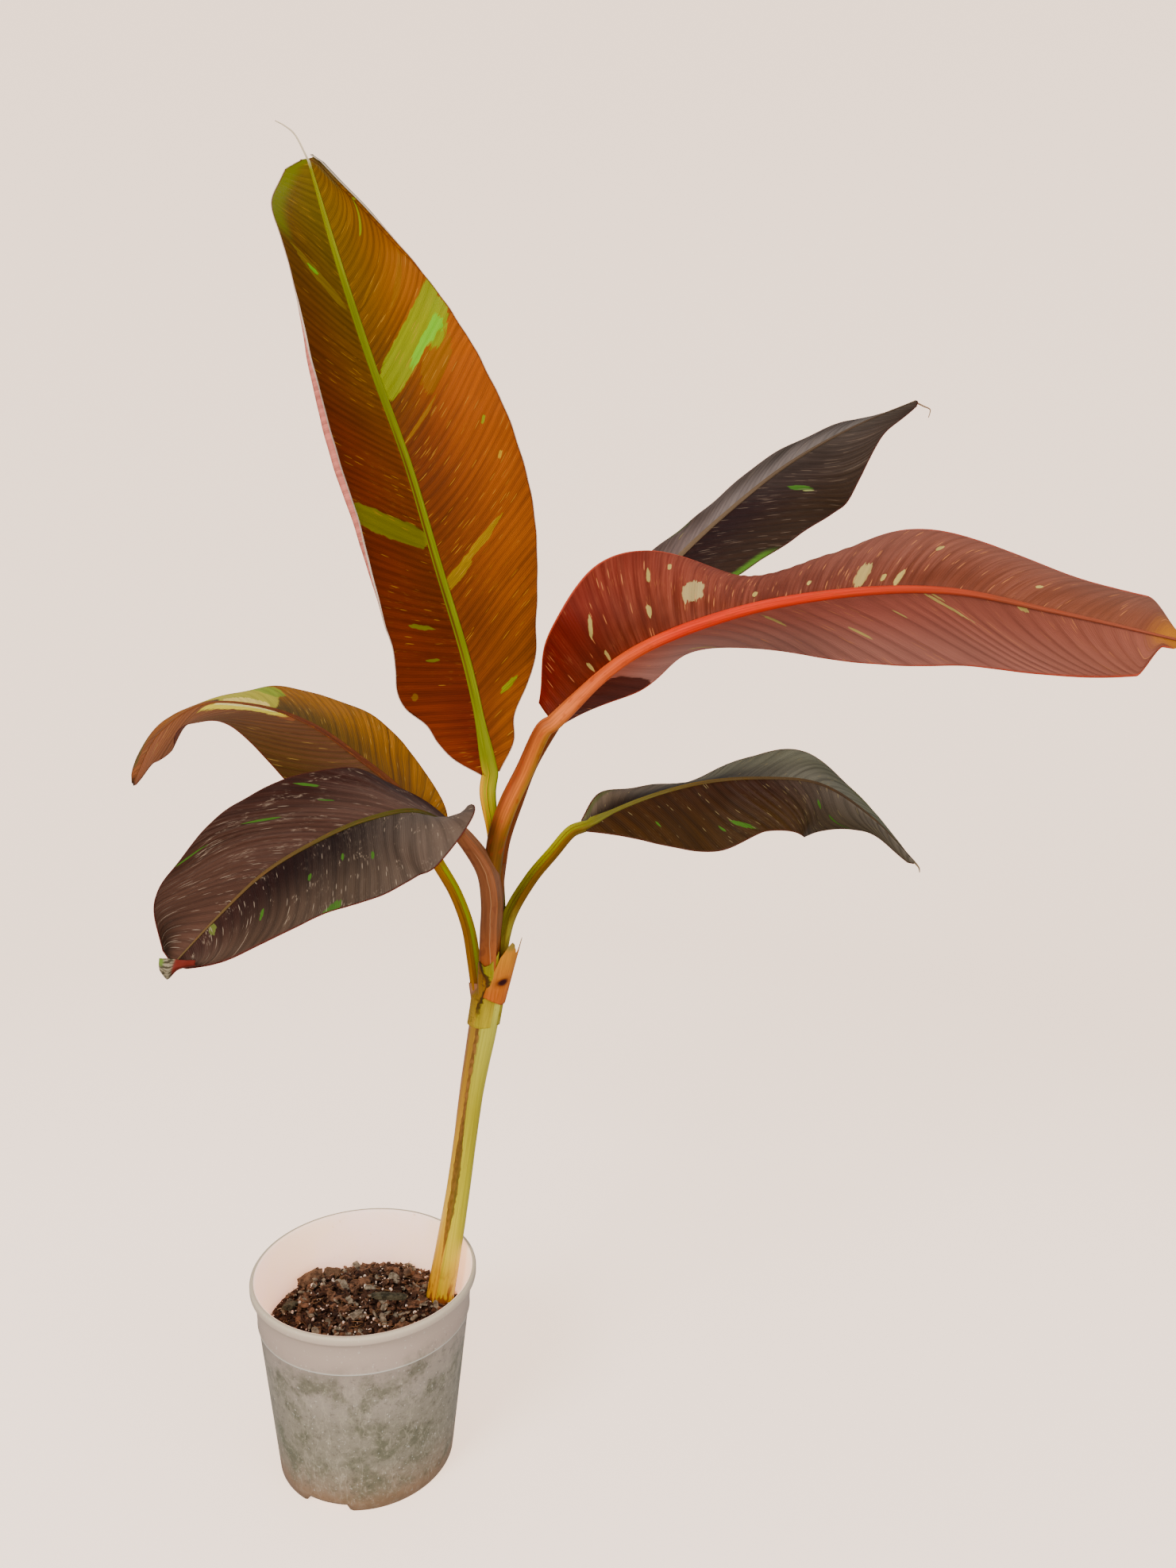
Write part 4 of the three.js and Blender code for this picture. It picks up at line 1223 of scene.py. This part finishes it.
# The torn sheath: orange and red-brown, pale at its torn edge, with one dark spot
def stub_look():
    sh = Shader("dry_sheath", 0.2)
    around, z = sh.place("Stub", TO_MM, TO_MM)
    grain = sh.noise(z, 22.0, around, 1.1, 2.0, detail=3.0)
    sh.base = sh.mix(z.rise(396.0, 440.0), (200, 108, 34, 1.2), (224, 140, 34, 1.25))
    sh.lay(around.rise(-12.0, -17.0) * z.rise(402.0, 420.0) * 0.7, (226, 166, 44))
    sh.shade(grain.rise(0.3, 0.7), (0.84, 0.78, 0.7), (1.1, 1.1, 1.08))
    sh.lay(around.rise(-5.0, -1.0) * 0.5, (170, 80, 30))
    sh.lay((z + grain * 9.0).rise(441.0, 447.0), (170, 140, 60))
    sh.lay(z.rise(393.0, 391.5) * 0.6, (128, 66, 34))
    ends = {0: sh.vector(around, z, 0.0), 1: (-9.0, 412.0, 0.0)}
    spot = sh.value("VectorMath", ends, "Value", operation="DISTANCE")
    spot = spot + sh.noise(around, 4.0, seed=9.0) * 1.2
    sh.lay(spot.rise(7.5, 3.0) * 0.5, (132, 62, 30))
    sh.lay(spot.rise(4.8, 2.2), (62, 24, 26))
    return sh.done(grain, 0.0004)


# Grey-green and curled at its left, with a green fleck, and red at its right, where it shows its underside
def curl_look():
    sh = Shader("leaf_dark_5_tip", 0.1)
    across, down = sh.place("Curl", 1.0, 1.0)
    grain = sh.noise(across, 0.2, down, 0.1, 3.0, detail=3.0)
    sh.base = sh.mix(grain.rise(0.4, 0.6), (74, 66, 50), (150, 138, 112))
    sh.lay((across + grain * 0.2).rise(0.5, 0.62), (116, 44, 34))
    sh.lay(across.rise(0.2, 0.08) * down.rise(0.4, 0.2), (106, 130, 52))
    return sh.done()


# Inside of the pot's wall, with a painted glow: a warm emission and a raised pale colour stand in for the
# light that comes through it
def pot_inside_look():
    painted_glow = {"Emission Strength": 1.3, "Emission Color": (1, 0.5, 0.32, 1)}
    sh = Shader("pot_plastic_inside", 0.3, **painted_glow)
    place = sh.point()
    haze = sh.noise_at(place, 30.0, 4.0, 0.6)
    sh.base = sh.mix(haze.rise(0.35, 0.65), (252, 226, 204, 1.3), (246, 214, 190, 1.25))
    sh.lay(sh.noise_at(place, 380.0).rise(0.68, 0.72) * 0.6, (120, 96, 76))
    return sh.done()


# Milky plastic with what shows through it: a clear band above the mix, haze, algae, roots and a brown foot
def pot_look():
    sh = Shader("pot_plastic", 0.35, roughness=0.42)
    place = sh.point()
    z = sh.value("SeparateXYZ", {0: place}, 2) * TO_MM
    haze = sh.noise_at(place, 14.0, 5.0, 0.6)
    blotch = sh.noise_at(place, 34.0, 6.0, 0.65)
    mottle = sh.noise_at(place, 190.0, 5.0, 0.75)
    sh.base = sh.ramp(z / 170.0, [
        (0.0, (172, 142, 112)), (0.1, (164, 142, 118)), (0.25, (158, 147, 127)), (0.48, (162, 151, 133)),
        (0.6, (180, 166, 150)), (0.76, (190, 172, 156)), (0.8, (200, 178, 162)), (0.94, (212, 190, 172)),
        (1.0, (250, 216, 188)),
    ])
    below = (z + haze * 46.0).rise(172.0, 140.0)
    sh.lay(blotch.rise(0.45, 0.65) * below * 0.7, (100, 102, 76))
    sh.lay(mottle.rise(0.53, 0.64) * below * 0.4, (196, 184, 160))
    sh.lay(mottle.rise(0.46, 0.36) * below * 0.45, (92, 86, 72))
    warp = sh.value("VectorMath", {0: place, 1: (1.0, 1.0, 0.35)}, operation="MULTIPLY")
    root = abs(sh.noise_at(warp, 60.0, 3.0, 0.6) - 0.5)
    sh.lay(root.rise(0.012, 0.004) * (below * 0.22), (214, 200, 176))
    sh.lay(sh.noise_at(place, 420.0).rise(0.66, 0.72) * 0.5, (232, 222, 208))
    sh.lay(z.band(130.2, 131.6, 0.4) * 0.7, (236, 226, 214))
    sh.lay((z + haze * 24.0).rise(34.0, 16.0) * 0.6, (150, 112, 80))
    return sh.done(mottle, 0.0001)


# A matt lump of bark, perlite or fibre: two tones by a noise of the given scale
def grainy(name, dark, light, scale):
    sh = Shader(name, 0.25, roughness=0.85)
    tones = sh.noise_at(sh.point(), scale, 4.0, 0.65)
    sh.base = sh.mix(tones.rise(0.35, 0.65), dark, light)
    return sh.done(tones, 0.0006)


LIME = (146, 156, 0, 0.85)
LIME_DARK = (118, 116, 0, 1.1)
NEON = (140, 212, 0, 0.7)
OLIVE = (150, 104, 20, 0.85)
MOSS = (128, 104, 4, 1.2)
GREEN = (78, 128, 40, 0.75)
STRAW = (206, 184, 104, 0.85)
R, L = 1.0, -1.0  # right and left half of a blade
LENGTHS = {"1": 503, "2": 474, "3": 459, "4": 386, "5": 275, "6": 302}  # of the midribs

PATCHES = {
    "1": [
        (R, 311.5, 31, 34, 74, LIME), (R, 297, 25, 59, 26, LIME, 0, 3), (R, 300, 9, 44, 30, NEON),
        (R, 294, 20, 57, 14, NEON, 0, 3), (R, 281, 24, 49, 34, OLIVE, 0, 6, 0.6),
        (R, 266, 3.4, 21, 38, OLIVE, 0, 4), (R, 352, 9, 41, 24, OLIVE, 0.35, 3, 0.5),
        (R, 378, 4, 15, 15, OLIVE, 0.3, 3, 0.6), (R, 411, 4, 27, 6, LIME, 0, 3),
        (L, 383, 12, 30, 46, MOSS, 0.25, 6, 0.75), (L, 385.5, 4, 37.5, 10, NEON),
        (L, 187, 19, 40, 82, LIME_DARK, -0.06), (R, 150, 11, 14, 28, (146, 116, 14)),
        (R, 152.5, 8, 38, 46, (156, 122, 16), 0, 2.5), (L, 115, 3.6, 36, 30, LIME_DARK, 0, 3),
        (L, 91, 2.4, 30, 14, LIME_DARK, 0, 3), (L, 64, 6, 50, 6, OLIVE, 0, 2),
        (R, 46.6, 5, 29, 17, LIME, 0, 3), (R, 184.7, 4, 72, 5, (190, 150, 30), 0, 2),
        (R, 215, 4, 68, 5, LIME, 0, 2),
    ],
    "2": [
        (R, 136, 14, 27.5, 18, (180, 160, 108)), (R, 107.6, 2.4, 49, 12, STRAW, 0, 3),
        (R, 105, 3.2, 23.5, 10, STRAW, 0, 3), (R, 66, 3, 40, 17, STRAW, 0.33, 3),
        (R, 66.6, 2.2, 12, 12, STRAW), (R, 120, 2, 53, 6, STRAW), (R, 181, 3.6, 13, 6, STRAW, 0, 3),
        (R, 220, 3, 14, 5, STRAW, 0, 3), (R, 51.4, 2.6, 13, 11, STRAW, 0, 3),
        (R, 257, 9, 14, 23, (186, 164, 98), 0, 4), (R, 273, 3, 10, 6, STRAW),
        (R, 284, 4.4, 9, 13, STRAW, 0, 4), (R, 295, 3, 37, 6, STRAW, 0, 3),
        (R, 371, 4, 19, 4, STRAW, 0, 3), (L, 176, 3.4, 20.7, 23, STRAW, -0.22, 3),
        (L, 308, 4.4, 12, 20, STRAW, 0.5, 4), (L, 310, 2.4, 5, 7, STRAW, 0.4, 3),
        (L, 374, 7, 3, 4, STRAW), (L, 209, 2.6, 42, 15, STRAW, 0, 3), (L, 261, 2.2, 22.5, 8, STRAW, 0, 3),
        # The last patch here, dark at the far half's base under the midrib, is painted shade
        (L, 95, 3, 56, 15, STRAW, 0.75, 4), (L, 30, 56, 26, 60, (74, 26, 18), 0, 4),
    ],
    "3": [
        (R, 264, 9, 30, 18, GREEN, -0.2, 2), (R, 258, 3, 38, 7, (150, 160, 90), 0, 2),
        (L, 150, 3, 40, 12, STRAW, 0.2, 2, 0.5),
    ],
    "4": [
        (R, 216, 58, 32, 78, (184, 176, 60), -0.45, 8),
        (R, 184, 26, 52, 34, (132, 156, 44), -0.3, 3, 0.8),
        (R, 228, 46, 9, 20, (232, 200, 112, 1.1), 0, 3), (L, 222, 82, 8, 27, (224, 204, 60, 1.1), 0, 2.5),
        (L, 226, 64, 3, 11, (240, 206, 140, 1.2), 0, 3), (L, 180, 16, 8, 14, (170, 96, 52), 0, 2, 0.4),
    ],
    "5": [
        (R, 88.9, 3.2, 42.5, 13, GREEN, 0, 3), (R, 63, 2.6, 32, 8, GREEN, 0, 3),
        (R, 47.5, 2.6, 53, 12, GREEN, 0, 3), (R, 100, 3, 59, 9, GREEN, 0, 3),
        (L, 120, 17, 62, 10, GREEN, 0.2, 3, 0.8), (L, 111.5, 2.6, 24, 6, GREEN, 0, 3),
        (L, 85.7, 3, 35, 7, GREEN, 0, 3), (L, 228, 7, 4, 7, (104, 112, 50), 0, 3),
        (L, 184, 3, 25, 5, GREEN), (L, 140.6, 3, 26, 5, GREEN),
    ],
    "6": [
        (R, 97.5, 6, 41, 12, GREEN, 0.5, 2), (R, 44, 1.8, 23, 6, GREEN, 0, 2),
        (R, 190, 3, 15.6, 6, GREEN, 0, 2), (R, 197, 2.4, 23, 6, GREEN, 0, 2),
        (R, 84, 2.2, 41, 6, GREEN, 0, 2), (L, 101.6, 2.4, 20, 6, GREEN, 0, 2),
        (L, 66, 4, 44, 7, GREEN, 0, 2), (L, 216, 16, 30, 14, (84, 88, 34), 0, 3, 0.7),
    ],
}

RIMS = {
    "1": [(L, 396, 508, 17, (104, 110, 2), 0.85), (R, 440, 508, 5, (110, 100, 60), 0.5)],
    "1 under": [(R, 380, 508, 16, (92, 98, 84), 0.95)],
    "2": [(R, 240, 430, 3, (196, 74, 50), 0.8), (L, 20, 440, 1.6, (180, 70, 50), 0.5)],
    "3": [(R, 98, 150, 9, (84, 128, 36), 0.9), (L, 124, 148, 8, (70, 92, 44), 0.7)],
    "4": [(R, 300, 356, 9, (86, 92, 54), 0.7)],
    "5": [(L, 150, 262, 2, (100, 58, 48), 0.5)],
    "6": [(L, 196, 236, 8, (76, 80, 34), 0.7), (L, 2, 22, 6, (70, 84, 36), 0.6)],
}


# A half in one colour all over
def plain(*colour):
    return 0.85, [colour] * 2, [colour] * 2


def leaf_looks():
    up, down = {}, {}
    # Its right half's brighter orange towards the margin is partly its own colour and partly painted glow,
    # for light that comes through the blade from behind
    up["1"] = leaf_look(
        "leaf_bronze_1", LENGTHS["1"],
        (0.98, [(104, 38, 0), (116, 60, 0), (108, 88, 0)], [(120, 47, 2), (108, 46, 2), (98, 74, 0)]),
        (0.72, [(140, 72, 0), (118, 58, 0), (136, 100, 4)], [(162, 88, 2), (178, 92, 0), (146, 102, 14)]),
        (84, 36, 2), (186, 138, 48), (104, 42, 14), PATCHES["1"], RIMS["1"], flecks=0.07, gloss=0.06,
        groove_shade=0.22)
    down["1"] = leaf_look(
        "leaf_bronze_1_under", LENGTHS["1"], plain(216, 130, 114), plain(204, 120, 96), (180, 92, 78),
        (236, 200, 150), (214, 200, 180), (), RIMS["1 under"], flecks=0.04)
    up["2"] = leaf_look(
        "leaf_maroon_2_top", LENGTHS["2"], plain(84, 50, 34), plain(84, 50, 34), (54, 32, 24),
        (190, 170, 110), (150, 60, 40))
    down["2"] = leaf_look(
        "leaf_maroon_2", LENGTHS["2"],
        (1.6, [(140, 78, 62), (132, 70, 58), (120, 68, 54)],
         [(146, 100, 88), (136, 86, 74), (118, 70, 56)]),
        (0.68, [(122, 48, 30), (116, 54, 38), (150, 88, 64)],
         [(134, 36, 14), (154, 92, 74), (148, 98, 80)]),
        (110, 48, 38), (214, 140, 84), (190, 78, 52), PATCHES["2"], RIMS["2"], flecks=0.06,
        painted_sheen=[(0.14, 0.4, R, (176, 96, 72), 0.4), (0.4, 0.95, R, (170, 108, 90), 0.3)],
        tip=(450, 468, (176, 112, 40)), groove_shade=0.14, contrast=0.15)
    # The grey tones near the midrib of its left half are partly painted sheen
    up["3"] = leaf_look(
        "leaf_dark_3", LENGTHS["3"],
        (0.78, [(110, 74, 64), (136, 120, 114), (106, 98, 90)], [(98, 70, 60), (78, 64, 54), (54, 48, 43)]),
        (0.56, [(60, 34, 24), (52, 30, 16), (90, 77, 66)], [(70, 44, 32), (68, 48, 33), (86, 70, 60)]),
        (34, 20, 15), (138, 118, 100), (76, 34, 27), PATCHES["3"], RIMS["3"], flecks=0.07,
        painted_sheen=[(0.2, 0.9, L, (142, 130, 126), 0.25), (0.6, 1.0, R, (100, 86, 78), 0.35)])
    down["3"] = leaf_look(
        "leaf_dark_3_under", LENGTHS["3"], plain(112, 54, 44), plain(112, 54, 44), (80, 36, 34),
        (190, 150, 110), (80, 40, 36), (), RIMS["3"], flecks=0.04)
    # Its orange tones are partly its own colour and partly painted glow, for light that comes through the
    # blade from behind
    up["4"] = leaf_look(
        "leaf_bronze_4", LENGTHS["4"],
        (0.84, [(88, 64, 48), (122, 76, 44), (158, 96, 62)], [(84, 60, 26), (116, 74, 46), (152, 92, 62)]),
        (0.92, [(140, 92, 12), (104, 76, 24), (78, 62, 32), (140, 82, 48)],
         [(166, 110, 22), (154, 100, 28), (150, 88, 52)]),
        (66, 38, 12), (196, 160, 80), (104, 44, 24), PATCHES["4"], RIMS["4"], flecks=0.05, groove_shade=0.75,
        stripes=(6.5, (84, 66, 26), 0.4), tip=(374, 384, (60, 40, 28)))
    down["4"] = leaf_look(
        "leaf_bronze_4_under", LENGTHS["4"], plain(160, 92, 62), plain(160, 92, 62), (120, 62, 42),
        (220, 190, 140), (100, 44, 30), flecks=0.04, tip=(374, 384, (60, 40, 28)))
    up["5"] = leaf_look(
        "leaf_dark_5", LENGTHS["5"],
        (0.58, [(126, 110, 98), (42, 30, 22), (50, 31, 20), (82, 54, 46)],
         [(124, 104, 90), (98, 80, 66), (98, 76, 62), (106, 80, 66)]),
        (0.62, [(118, 90, 78), (92, 60, 48), (94, 64, 52), (106, 74, 60)],
         [(66, 34, 6), (70, 40, 24), (102, 70, 56), (50, 36, 20)]),
        (34, 20, 15), (172, 154, 134), (70, 38, 30), PATCHES["5"], RIMS["5"], flecks=0.06, fleck_length=7.0,
        scuffs=((166, 146, 126), 0.07),
        painted_sheen=[(0.0, 0.6, R, (120, 98, 88), 0.2), (0.0, 0.5, L, (112, 98, 86), 0.15)])
    down["5"] = leaf_look(
        "leaf_dark_5_under", LENGTHS["5"], plain(138, 54, 42), plain(122, 58, 46), (84, 40, 34),
        (200, 160, 130), (96, 40, 32), flecks=0.04)
    up["6"] = leaf_look(
        "leaf_dark_6", LENGTHS["6"],
        (0.9, [(40, 28, 10), (36, 26, 10), (108, 104, 90), (96, 98, 78)],
         [(104, 88, 72), (110, 108, 90), (92, 90, 72), (106, 110, 90)]),
        (0.64, [(76, 48, 22), (62, 38, 18), (128, 118, 104)], [(80, 52, 20), (76, 54, 24), (124, 112, 92)]),
        (38, 28, 17), (150, 134, 92), (80, 46, 32), PATCHES["6"], RIMS["6"], flecks=0.05, fleck_length=6.0,
        painted_sheen=[(0.35, 0.62, R, (90, 72, 66), 0.45), (0.45, 0.7, L, (128, 126, 112), 0.4)], groove_shade=0.75)
    down["6"] = leaf_look(
        "leaf_dark_6_under", LENGTHS["6"], plain(114, 68, 46), plain(114, 68, 46), (80, 46, 36),
        (190, 170, 120), (96, 56, 44), flecks=0.04)
    return up, down


def stalk_looks():
    return {
        "1": stalk_look(
            "petiole_1", [(172, 164, 4), (122, 138, 2), (178, 152, 4), (228, 168, 10)],
            [(136, 142, 6), (124, 134, 8), (120, 128, 10), (122, 130, 10), (140, 138, 20)], LENGTHS["1"],
            foot=((112, 98, 10), -45, -85), trough=((104, 46, 10), 0.14, 0.56), thread=(222, 206, 176),
            light=0.95),
        "2": stalk_look(
            "petiole_2", [(184, 116, 36), (156, 78, 40), (210, 116, 44), (178, 126, 34)],
            [(238, 128, 62), (216, 52, 6), (206, 52, 10), (152, 74, 50), (154, 84, 62)], LENGTHS["2"],
            foot=((112, 80, 34), -60, -110), blotches=(176, 70, 34), light=1.05),
        "3": stalk_look(
            "petiole_3", [(140, 90, 34), (120, 62, 28), (140, 88, 34), (128, 76, 30)],
            [(100, 78, 52), (108, 88, 66), (94, 76, 58), (76, 60, 48)], LENGTHS["3"],
            thread=(170, 140, 110), light=1.2),
        "4": stalk_look(
            "petiole_4", [(166, 124, 10), (152, 158, 30), (166, 122, 10), (156, 104, 14)],
            [(104, 66, 30), (88, 44, 22), (84, 42, 22), (110, 66, 38), (100, 60, 36)], LENGTHS["4"],
            foot=((176, 124, 20), -70, -120), line=(0.02, -128, -14, (150, 176, 10), 0.05),
            blotches=(134, 80, 10), light=1.55),
        "5": stalk_look(
            "petiole_5", [(142, 98, 70), (126, 82, 56), (142, 94, 60), (152, 94, 58)],
            [(74, 72, 30), (80, 72, 30), (92, 70, 38), (104, 84, 54)], LENGTHS["5"],
            foot=((188, 100, 36), -78, -128), line=(0.73, -125, -30, (186, 138, 98), 0.004),
            blotches=(124, 66, 42), light=1.25),
        "6": stalk_look(
            "petiole_6", [(148, 144, 8), (132, 92, 4), (112, 80, 4), (156, 150, 10)],
            [(120, 118, 44), (104, 84, 48), (80, 62, 46), (76, 66, 54)], LENGTHS["6"],
            foot=((176, 166, 60), -70, -110), thread=(150, 130, 100), blotches=(112, 78, 8), light=1.0),
    }


# Stage, lights and camera

FLOOR_RADIUS = 1500  # of the flat floor round the pot
WALL_CURVE = 1500
STAGE_TOP = 2600
FLOOR_DROP = 0.05  # how far the floor lies below the pot's foot
AIM = (0.1, 0.0, 0.55)  # where the lights point, in metres
LIGHTS = [  # name, place and size in metres, power and colour
    ("key", (-1.1, -1.7, 1.9), 1.0, 44, (1.0, 0.95, 0.89)),
    ("front", (0.4, -2.3, 0.35), 1.4, 30, (1.0, 0.95, 0.9)),
    ("fill", (1.9, -1.3, 1.0), 1.2, 12, (1.0, 0.98, 0.96)),
    ("top", (0.0, 0.2, 2.5), 1.2, 12, (1.0, 0.98, 0.96)),
]
CAMERA_PLACE = (0.180, -0.858, 0.726)
CAMERA_PITCH = 9.8  # degrees below level
CAMERA_ROLL = 0.9
SENSOR_WIDTH = 36
FOCAL_SHARE = 1420 / 1975  # focal length as a share of the sensor's width


# A floor that curves up into a round wall
def stage(material):
    sides = 128
    profile = [(r, 0) for r in np.linspace(1, FLOOR_RADIUS, 20)]
    for a in np.linspace(0.05, math.pi / 2, 24):
        profile.append((FLOOR_RADIUS + WALL_CURVE * math.sin(a), WALL_CURVE * (1 - math.cos(a))))
    profile.append((FLOOR_RADIUS + WALL_CURVE, STAGE_TOP))
    r, z = np.array(profile).T[:, :, None]
    angle = np.linspace(0, TURN, sides, endpoint=False)
    grid = stacked(r * np.cos(angle), r * np.sin(angle), z - FLOOR_DROP)
    faces = [face[::-1] for face in grid_faces(len(profile), sides, closed=True)]
    faces.append(list(range(sides)))
    bowl = add_object("floor", grid.reshape(-1, 3), faces, [material])
    bowl.visible_diffuse = False
    bowl.visible_glossy = False
    return bowl


def stage_look():
    sh = Shader("stage", 0.5, 0.8, **{"Emission Strength": 1.9, "Emission Color": (1, 0.68, 0.48, 1)})
    sh.base = sh.mix(sh.noise_at(sh.point(), 2.0), (240, 234, 228), (244, 240, 234))
    return sh.done()


def lights():
    for name, place, size, power, colour in LIGHTS:
        data = bpy.data.lights.new(name, "AREA")
        data.shape = "SQUARE"
        data.size = size
        data.energy = power
        data.color = colour
        light = bpy.data.objects.new(name, data)
        light.location = place
        light.rotation_euler = (Vector(AIM) - Vector(place)).to_track_quat("-Z", "Y").to_euler()
        bpy.context.scene.collection.objects.link(light)
    world = bpy.data.worlds.new("soft_room")
    world.use_nodes = True
    background = world.node_tree.nodes["Background"]
    background.inputs[0].default_value = (1.0, 0.97, 0.96, 1)
    background.inputs[1].default_value = 0.36
    bpy.context.scene.world = world


def camera():
    data = bpy.data.cameras.new("camera")
    data.sensor_width = SENSOR_WIDTH
    data.lens = SENSOR_WIDTH * FOCAL_SHARE
    data.clip_end = 20
    seen = bpy.data.objects.new("camera", data)
    pitch = Matrix.Rotation(math.pi / 2 - math.radians(CAMERA_PITCH), 4, "X")
    roll = Matrix.Rotation(math.radians(CAMERA_ROLL), 4, "Z")
    seen.matrix_world = Matrix.Translation(CAMERA_PLACE) @ pitch @ roll
    bpy.context.scene.collection.objects.link(seen)
    bpy.context.scene.camera = seen


# The plant, its pot and its setting

LEAF_SLOTS = {
    "1": "leaf_bronze", "2": "leaf_maroon", "3": "leaf_dark", "4": "leaf_bronze", "5": "leaf_dark",
    "6": "leaf_dark",
}
BARK = [  # name, seed, count, longest, lift, dark tone, light tone and scale of its grain
    ("bark_dark", 51, 1000, 9, 0.6, (32, 21, 16), (78, 54, 40), 300.0),
    ("bark_brown", 52, 420, 11, 1.0, (62, 44, 33), (124, 92, 70), 260.0),
    ("bark_grey", 53, 120, 13, 1.2, (84, 78, 66), (142, 134, 118), 260.0),
]
BROWN_CHIPS = [(-57, 43, 22, 14, 8), (-40, 52, 15, 10, 6), (27, 52, 12, 8, 5)]
GREY_CHIPS = [(17, 20, 30, 9, 5), (-66, 10, 16, 10, 5)]

camera()
lights()
stage(stage_look())

upper_looks, lower_looks = leaf_looks()
rib_looks = stalk_looks()
for name, leaf in LEAVES.items():
    blade(name, leaf, upper_looks[name], lower_looks[name], LEAF_SLOTS[name], 100 * int(name))
    stalk(name, leaf, rib_looks[name])

inner_look = stalk_look("inner_sheath", [(120, 74, 36), (112, 60, 30), (120, 70, 34), (116, 70, 32)],
                        [(116, 70, 34), (112, 62, 32)], 400, light=1.3)
sheath_tube("pseudostem_sheaths", STEM_POINTS, STEM_RADII, STEM_STEPS, stem_look(), "stem_green",
            "pseudostem")
sheath_tube("inner_sheaths", INNER_POINTS, INNER_RADII, INNER_STEPS, inner_look, "petiole", "inner_sheath",
            64)
torn_sheath(stub_look())
crown_wrap(wrap_look())
curled_tip(curl_look())

pot(pot_look(), pot_inside_look())
soil(grainy("potting_mix", (34, 22, 16), (76, 52, 38), 240.0))
for name, seed, count, longest, lift, dark, light, scale in BARK:
    bark(name, seed, count, longest, lift, grainy(name, dark, light, scale))
chips("chips_brown", 64, BROWN_CHIPS, grainy("chip_brown", (66, 50, 38), (112, 88, 68), 200.0))
chips("chips_grey", 65, GREY_CHIPS, grainy("chip_grey", (44, 44, 36), (88, 88, 72), 200.0))
perlite(grainy("perlite", (208, 172, 154), (244, 222, 208), 500.0))
fibres(grainy("fibre", (80, 56, 38), (150, 116, 80), 200.0))
